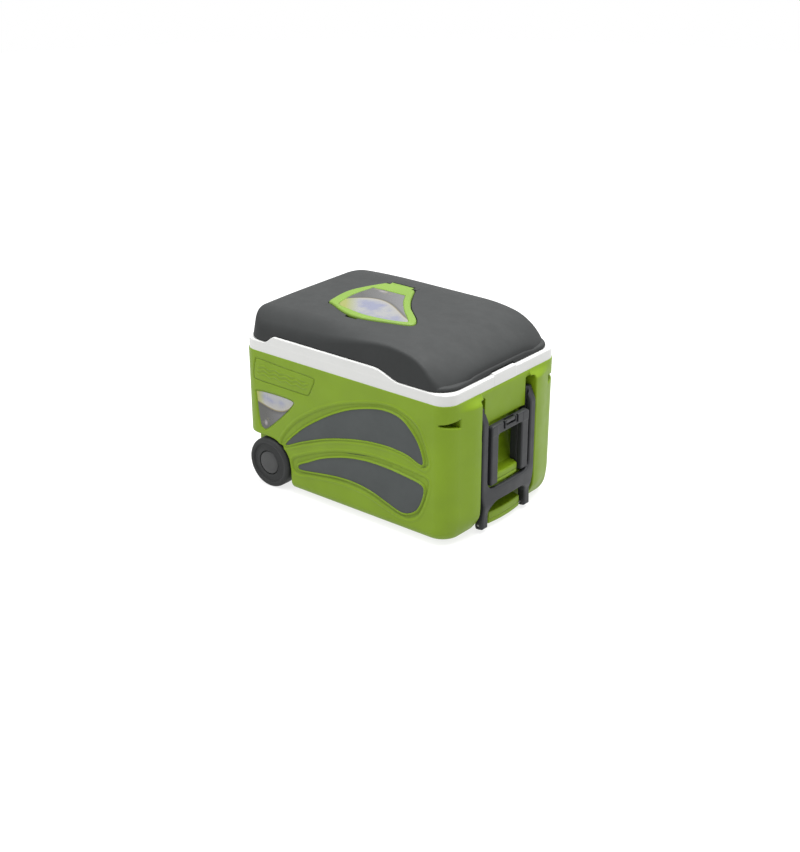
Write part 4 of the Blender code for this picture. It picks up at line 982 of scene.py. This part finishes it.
def grip_back(x, y, z):
    """Backing plate of the bail, with tongues that run in the arms."""
    plate = rounded_rect(y, z, -BAIL_HALF_W, BAIL_HALF_W, BAIL_Z[0], 0.2515, 0.008)
    tongues = both(np.abs(y) - 0.0826, slab(z, 0.1120, 0.1600))
    window = rounded_rect(y, z, -WINDOW_HALF_W, WINDOW_HALF_W, 0.08, GRIP_UNDERSIDE_Z, 0.004)
    return both(without(either(plate, tongues), window, 0.001), slab(x, 0.3015, 0.3040), 0.0006)


def grip_button(x, y, z):
    """Push button, its top face dished for a thumb."""
    dish = 0.0008 * ridge(y, 0.026)
    body = block(x, y, z, (0.3110, -0.0170, 0.2443), (0.3165, 0.0170, 0.2535), 0.0022)
    return both(body, z - 0.2535 + dish)


# Wheels ------------------------------------------------------------------------
WHEEL_PROFILE = ((0.0053, 0.0090), (0.0290, 0.0090), (0.0290, 0.0172), (0.0308, 0.0188), (0.0335, 0.0180),
                 (0.0400, 0.0166), (0.0462, 0.0162), (0.0478, 0.0190), (0.0500, 0.0203), (0.0545, 0.0205),
                 (0.0585, 0.0185), (0.0606, 0.0150), (0.0610, 0.0110), (0.0610, -0.0140), (0.0604, -0.0180),
                 (0.0580, -0.0202), (0.0500, -0.0205), (0.0480, -0.0100), (0.0140, -0.0100),
                 (0.0120, -0.0314), (0.0053, -0.0314))
CAP_PROFILE = ((0.0, 0.0205), (0.0150, 0.0204), (0.0215, 0.0200), (0.0262, 0.0188), (0.0284, 0.0162),
               (0.0285, 0.0094), (0.0255, 0.0094), (0.0255, 0.0150), (0.0, 0.0150))


def rounded_profile(profile, share=0.22, rounds=2):
    """Cut the corners of an open or closed (radius, height) line."""
    points = np.array(profile, float)
    closed = points[0, 0] > 0.0
    for _ in range(rounds):
        after = np.roll(points, -1, axis=0) if closed else points[1:]
        start = points if closed else points[:-1]
        cut = np.stack([lerp(start, after, share), lerp(start, after, 1.0 - share)], 1).reshape(-1, 2)
        points = cut if closed else np.concatenate([points[:1], cut[1:-1], points[-1:]])
    return points


def turned(name, profile, centre, side, steps, body, material, replaces):
    """Sweep a (radius, height) profile round the Y axis, height measured outwards."""
    points = rounded_profile(profile)
    closed = points[0, 0] > 0.0
    shape = bmesh.new()
    rings = []
    for radius, height in points:
        if radius <= 0.0:
            rings.append([shape.verts.new((centre[0], centre[1] + side * height, centre[2]))])
            continue
        ring = []
        for step in range(steps):
            angle = 2 * math.pi * step / steps
            ring.append(shape.verts.new((centre[0] + radius * math.cos(angle), centre[1] + side * height,
                                         centre[2] + radius * math.sin(angle))))
        rings.append(ring)
    pairs = list(zip(rings, rings[1:])) + ([(rings[-1], rings[0])] if closed else [])
    for a, b in pairs:
        for i in range(steps):
            j = (i + 1) % steps
            corners = [a[i % len(a)], a[j % len(a)], b[j % len(b)], b[i % len(b)]]
            shape.faces.new(list(dict.fromkeys(corners)))
    bmesh.ops.recalc_face_normals(shape, faces=shape.faces)
    mesh = bpy.data.meshes.new(name)
    shape.to_mesh(mesh)
    shape.free()
    mesh.shade_smooth()
    mesh.set_sharp_from_angle(angle=math.radians(38.0))
    part = bpy.data.objects.new(name, mesh)
    bpy.context.scene.collection.objects.link(part)
    return place(part, body, material, replaces)


def make_wheels():
    for label, side in (("front", -1), ("rear", 1)):
        centre = (WHEEL_X, side * WHEEL_Y, WHEEL_R)
        body = label + "_wheel"
        turned("tyre_" + label, WHEEL_PROFILE, centre, side, 96, body, MATERIALS["wheel"],
               ["wheel_" + label])
        turned("cap_" + label, CAP_PROFILE, centre, side, 72, body, MATERIALS["cap"],
               ["hub_cap_" + label])


# Build -------------------------------------------------------------------------
def metal(name, colour, roughness):
    """Zinc-plated steel: turned marks, uneven gloss and dull spots."""
    material, tree, shader = material_nodes(name, roughness, 1.0)
    spots = ramp(tree, noise(tree, 240.0, 4.0), 0.35, 0.70)
    base = blend_colours(tree, spots, scaled(colour, 0.72), colour)
    tree.links.new(base, shader.inputs["Base Color"])
    tree.links.new(ramp(tree, noise(tree, 600.0, 3.0), 0.3, 0.7, roughness - 0.08, roughness + 0.12),
                   shader.inputs["Roughness"])
    bump = new_node(tree, "ShaderNodeBump", Strength=0.4, Distance=0.00003)
    tree.links.new(noise(tree, 1800.0, 2.0), bump.inputs["Height"])
    tree.links.new(bump.outputs["Normal"], shader.inputs["Normal"])
    return material


MATERIALS["steel"] = metal("zinc_plate", (0.62, 0.62, 0.60), 0.34)
MATERIALS["cap"] = moulded("cap_moulded", (0.016, 0.017, 0.017), 0.50, 1500.0, 0.00004, wear=1.35)
CAD_MATERIALS = {
    "foam_core": "foam", "lid_liner": "white", "hatch_plug": "white",
    "latch_yoke": "button", "lid_hinge_left": "frame", "lid_hinge_right": "frame", "wheel_axle": "steel",
    "axle_nut_front": "steel", "axle_nut_rear": "steel", "button_spring": "steel", "hatch_pin": "steel",
    "lid_pin_left": "steel", "lid_pin_right": "steel", "tow_pin_front": "steel", "tow_pin_rear": "steel",
    "lid_hinge_screw_left_a": "steel", "lid_hinge_screw_left_b": "steel",
    "lid_hinge_screw_right_a": "steel", "lid_hinge_screw_right_b": "steel",
}


def build():
    skin("chest_shell", outer_shell, (-0.301, -0.2085, -0.0005), (0.3150, 0.2085, 0.3365), 0.0021, "chest",
         MATERIALS["green"], ["outer_shell"], 196000)
    skin("rim_and_tub", inner_liner, (-0.300, -0.2070, 0.044), (0.300, 0.2070, 0.384), 0.0021, "chest",
         MATERIALS["white"], ["inner_liner"], 150000)
    make_inlays()
    skin("lid_shell", lid_cover, (-0.298, -0.2055, 0.360), (0.291, 0.2055, 0.441), 0.0019, "lid",
         MATERIALS["lid"], ["lid_cover"], 190000)
    skin("lid_filling", lid_foam, (-0.296, -0.2035, 0.366), (0.290, 0.2035, 0.440), 0.0040, "lid",
         MATERIALS["foam"], ["lid_foam"], 30000)
    for label, x in (("left", -LID_HINGE_X), ("right", LID_HINGE_X)):
        low, high = (x - 0.015, 0.200, 0.350), (x + 0.015, 0.212, 0.377)
        skin("lid_knuckle_" + label, lid_knuckle(x), low, high, 0.0007,
             "lid", MATERIALS["lid"], (), 12000)
    low_x, high_x = HATCH_HINGE_X
    for label, start in (("left", low_x - 0.001), ("right", high_x - 0.012)):
        skin("hatch_ear_" + label, hatch_ear(start, start + 0.013), (start - 0.001, 0.117, 0.427),
             (start + 0.014, 0.132, 0.4415), 0.0008, "lid", MATERIALS["lid"], (), 8000)
    skin("hatch_leaf", hatch_door, (-0.166, -0.112, 0.4305), (0.100, 0.1265, 0.4430), 0.0012, "hatch",
         MATERIALS["hatch_green"], ["hatch_door"], 120000)
    make_labels()
    make_wheels()
    skin("handle_frame", tow_frame, (0.284, -0.0990, 0.0080), (0.3225, 0.0990, 0.2980), 0.0011, "tow_handle",
         MATERIALS["frame"], ["tow_frame"], 120000)
    skin("handle_bail", grip_bail, (0.3040, -0.0700, 0.1110), (0.3180, 0.0700, 0.2545), 0.0009, "bail",
         MATERIALS["frame"], ["grip_bail"], 90000)
    skin("handle_back", grip_back, (0.3010, -0.0830, 0.1115), (0.3045, 0.0830, 0.2520), 0.0009, "bail",
         MATERIALS["button"], ["grip_back"], 60000)
    skin("thumb_button", grip_button, (0.3105, -0.0176, 0.2436), (0.3170, 0.0176, 0.2542), 0.0006, "button",
         MATERIALS["button"], ["grip_button"], 20000)
    for name, kind in CAD_MATERIALS.items():
        node = NODES[name]
        node.data.materials.clear()
        node.data.materials.append(MATERIALS[kind])

# Stage, light and camera -------------------------------------------------------
FLOOR_RADIUS = 6.0
FLOOR_GREY = 0.25
FLOOR_GLOW = 0.77              # lifts the floor to the white of the background
WHITE = (1.0, 1.0, 1.0, 1.0)
CAMERA_LENS = 70.11            # millimetres, for a 36 mm sensor
CAMERA_AZIMUTH, CAMERA_ELEVATION = math.radians(39.0927), math.radians(23.7326)
CAMERA_DISTANCE = 3.4589
CAMERA_AIM = Vector((0.1088 + SHIFT_X, -0.1309, 0.2209))


def area_light(name, location, target, size, energy):
    data = bpy.data.lights.new(name, "AREA")
    data.shape = "RECTANGLE"
    data.size, data.size_y = size
    data.energy = energy
    light = bpy.data.objects.new(name, data)
    bpy.context.scene.collection.objects.link(light)
    light.location = location
    light.rotation_euler = (Vector(target) - Vector(location)).to_track_quat("-Z", "Y").to_euler()


def make_stage():
    shape = bmesh.new()
    bmesh.ops.create_circle(shape, cap_ends=True, segments=64, radius=FLOOR_RADIUS)
    mesh = bpy.data.meshes.new("floor")
    shape.to_mesh(mesh)
    shape.free()
    floor = bpy.data.objects.new("floor", mesh)
    bpy.context.scene.collection.objects.link(floor)
    material, _, shader = material_nodes("pale_floor", 0.9, 0.0, 0.1)
    shader.inputs["Base Color"].default_value = (FLOOR_GREY, FLOOR_GREY, FLOOR_GREY, 1.0)
    shader.inputs["Emission Color"].default_value = WHITE
    shader.inputs["Emission Strength"].default_value = FLOOR_GLOW
    mesh.materials.append(material)
    floor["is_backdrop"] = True
    world = bpy.data.worlds.new("studio")
    world.use_nodes = True
    background = world.node_tree.nodes["Background"]
    background.inputs["Color"].default_value = WHITE
    background.inputs["Strength"].default_value = 1.0
    bpy.context.scene.world = world
    area_light("key", (-1.2, -2.6, 2.6), (0.0, 0.0, 0.15), (2.2, 2.2), 50.0)
    area_light("top", (0.2, 0.4, 3.0), (0.0, 0.0, 0.2), (3.0, 3.0), 262.0)
    bpy.context.scene.view_settings.view_transform = "Standard"


def make_camera():
    data = bpy.data.cameras.new("camera")
    data.sensor_fit = "HORIZONTAL"
    data.sensor_width = 36.0
    data.lens = CAMERA_LENS
    camera = bpy.data.objects.new("camera", data)
    bpy.context.scene.collection.objects.link(camera)
    level = math.cos(CAMERA_ELEVATION)
    away = Vector((math.sin(CAMERA_AZIMUTH) * level, -math.cos(CAMERA_AZIMUTH) * level,
                   math.sin(CAMERA_ELEVATION)))
    camera.location = CAMERA_AIM + away * CAMERA_DISTANCE
    camera.rotation_euler = (-away).to_track_quat("-Z", "Y").to_euler()
    bpy.context.scene.camera = camera


build()
make_stage()
make_camera()
boxes = {"cad": CAD_BOUNDS, "visual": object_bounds()}
{name: [list(corner) for corner in box] for name, box in boxes.items()}
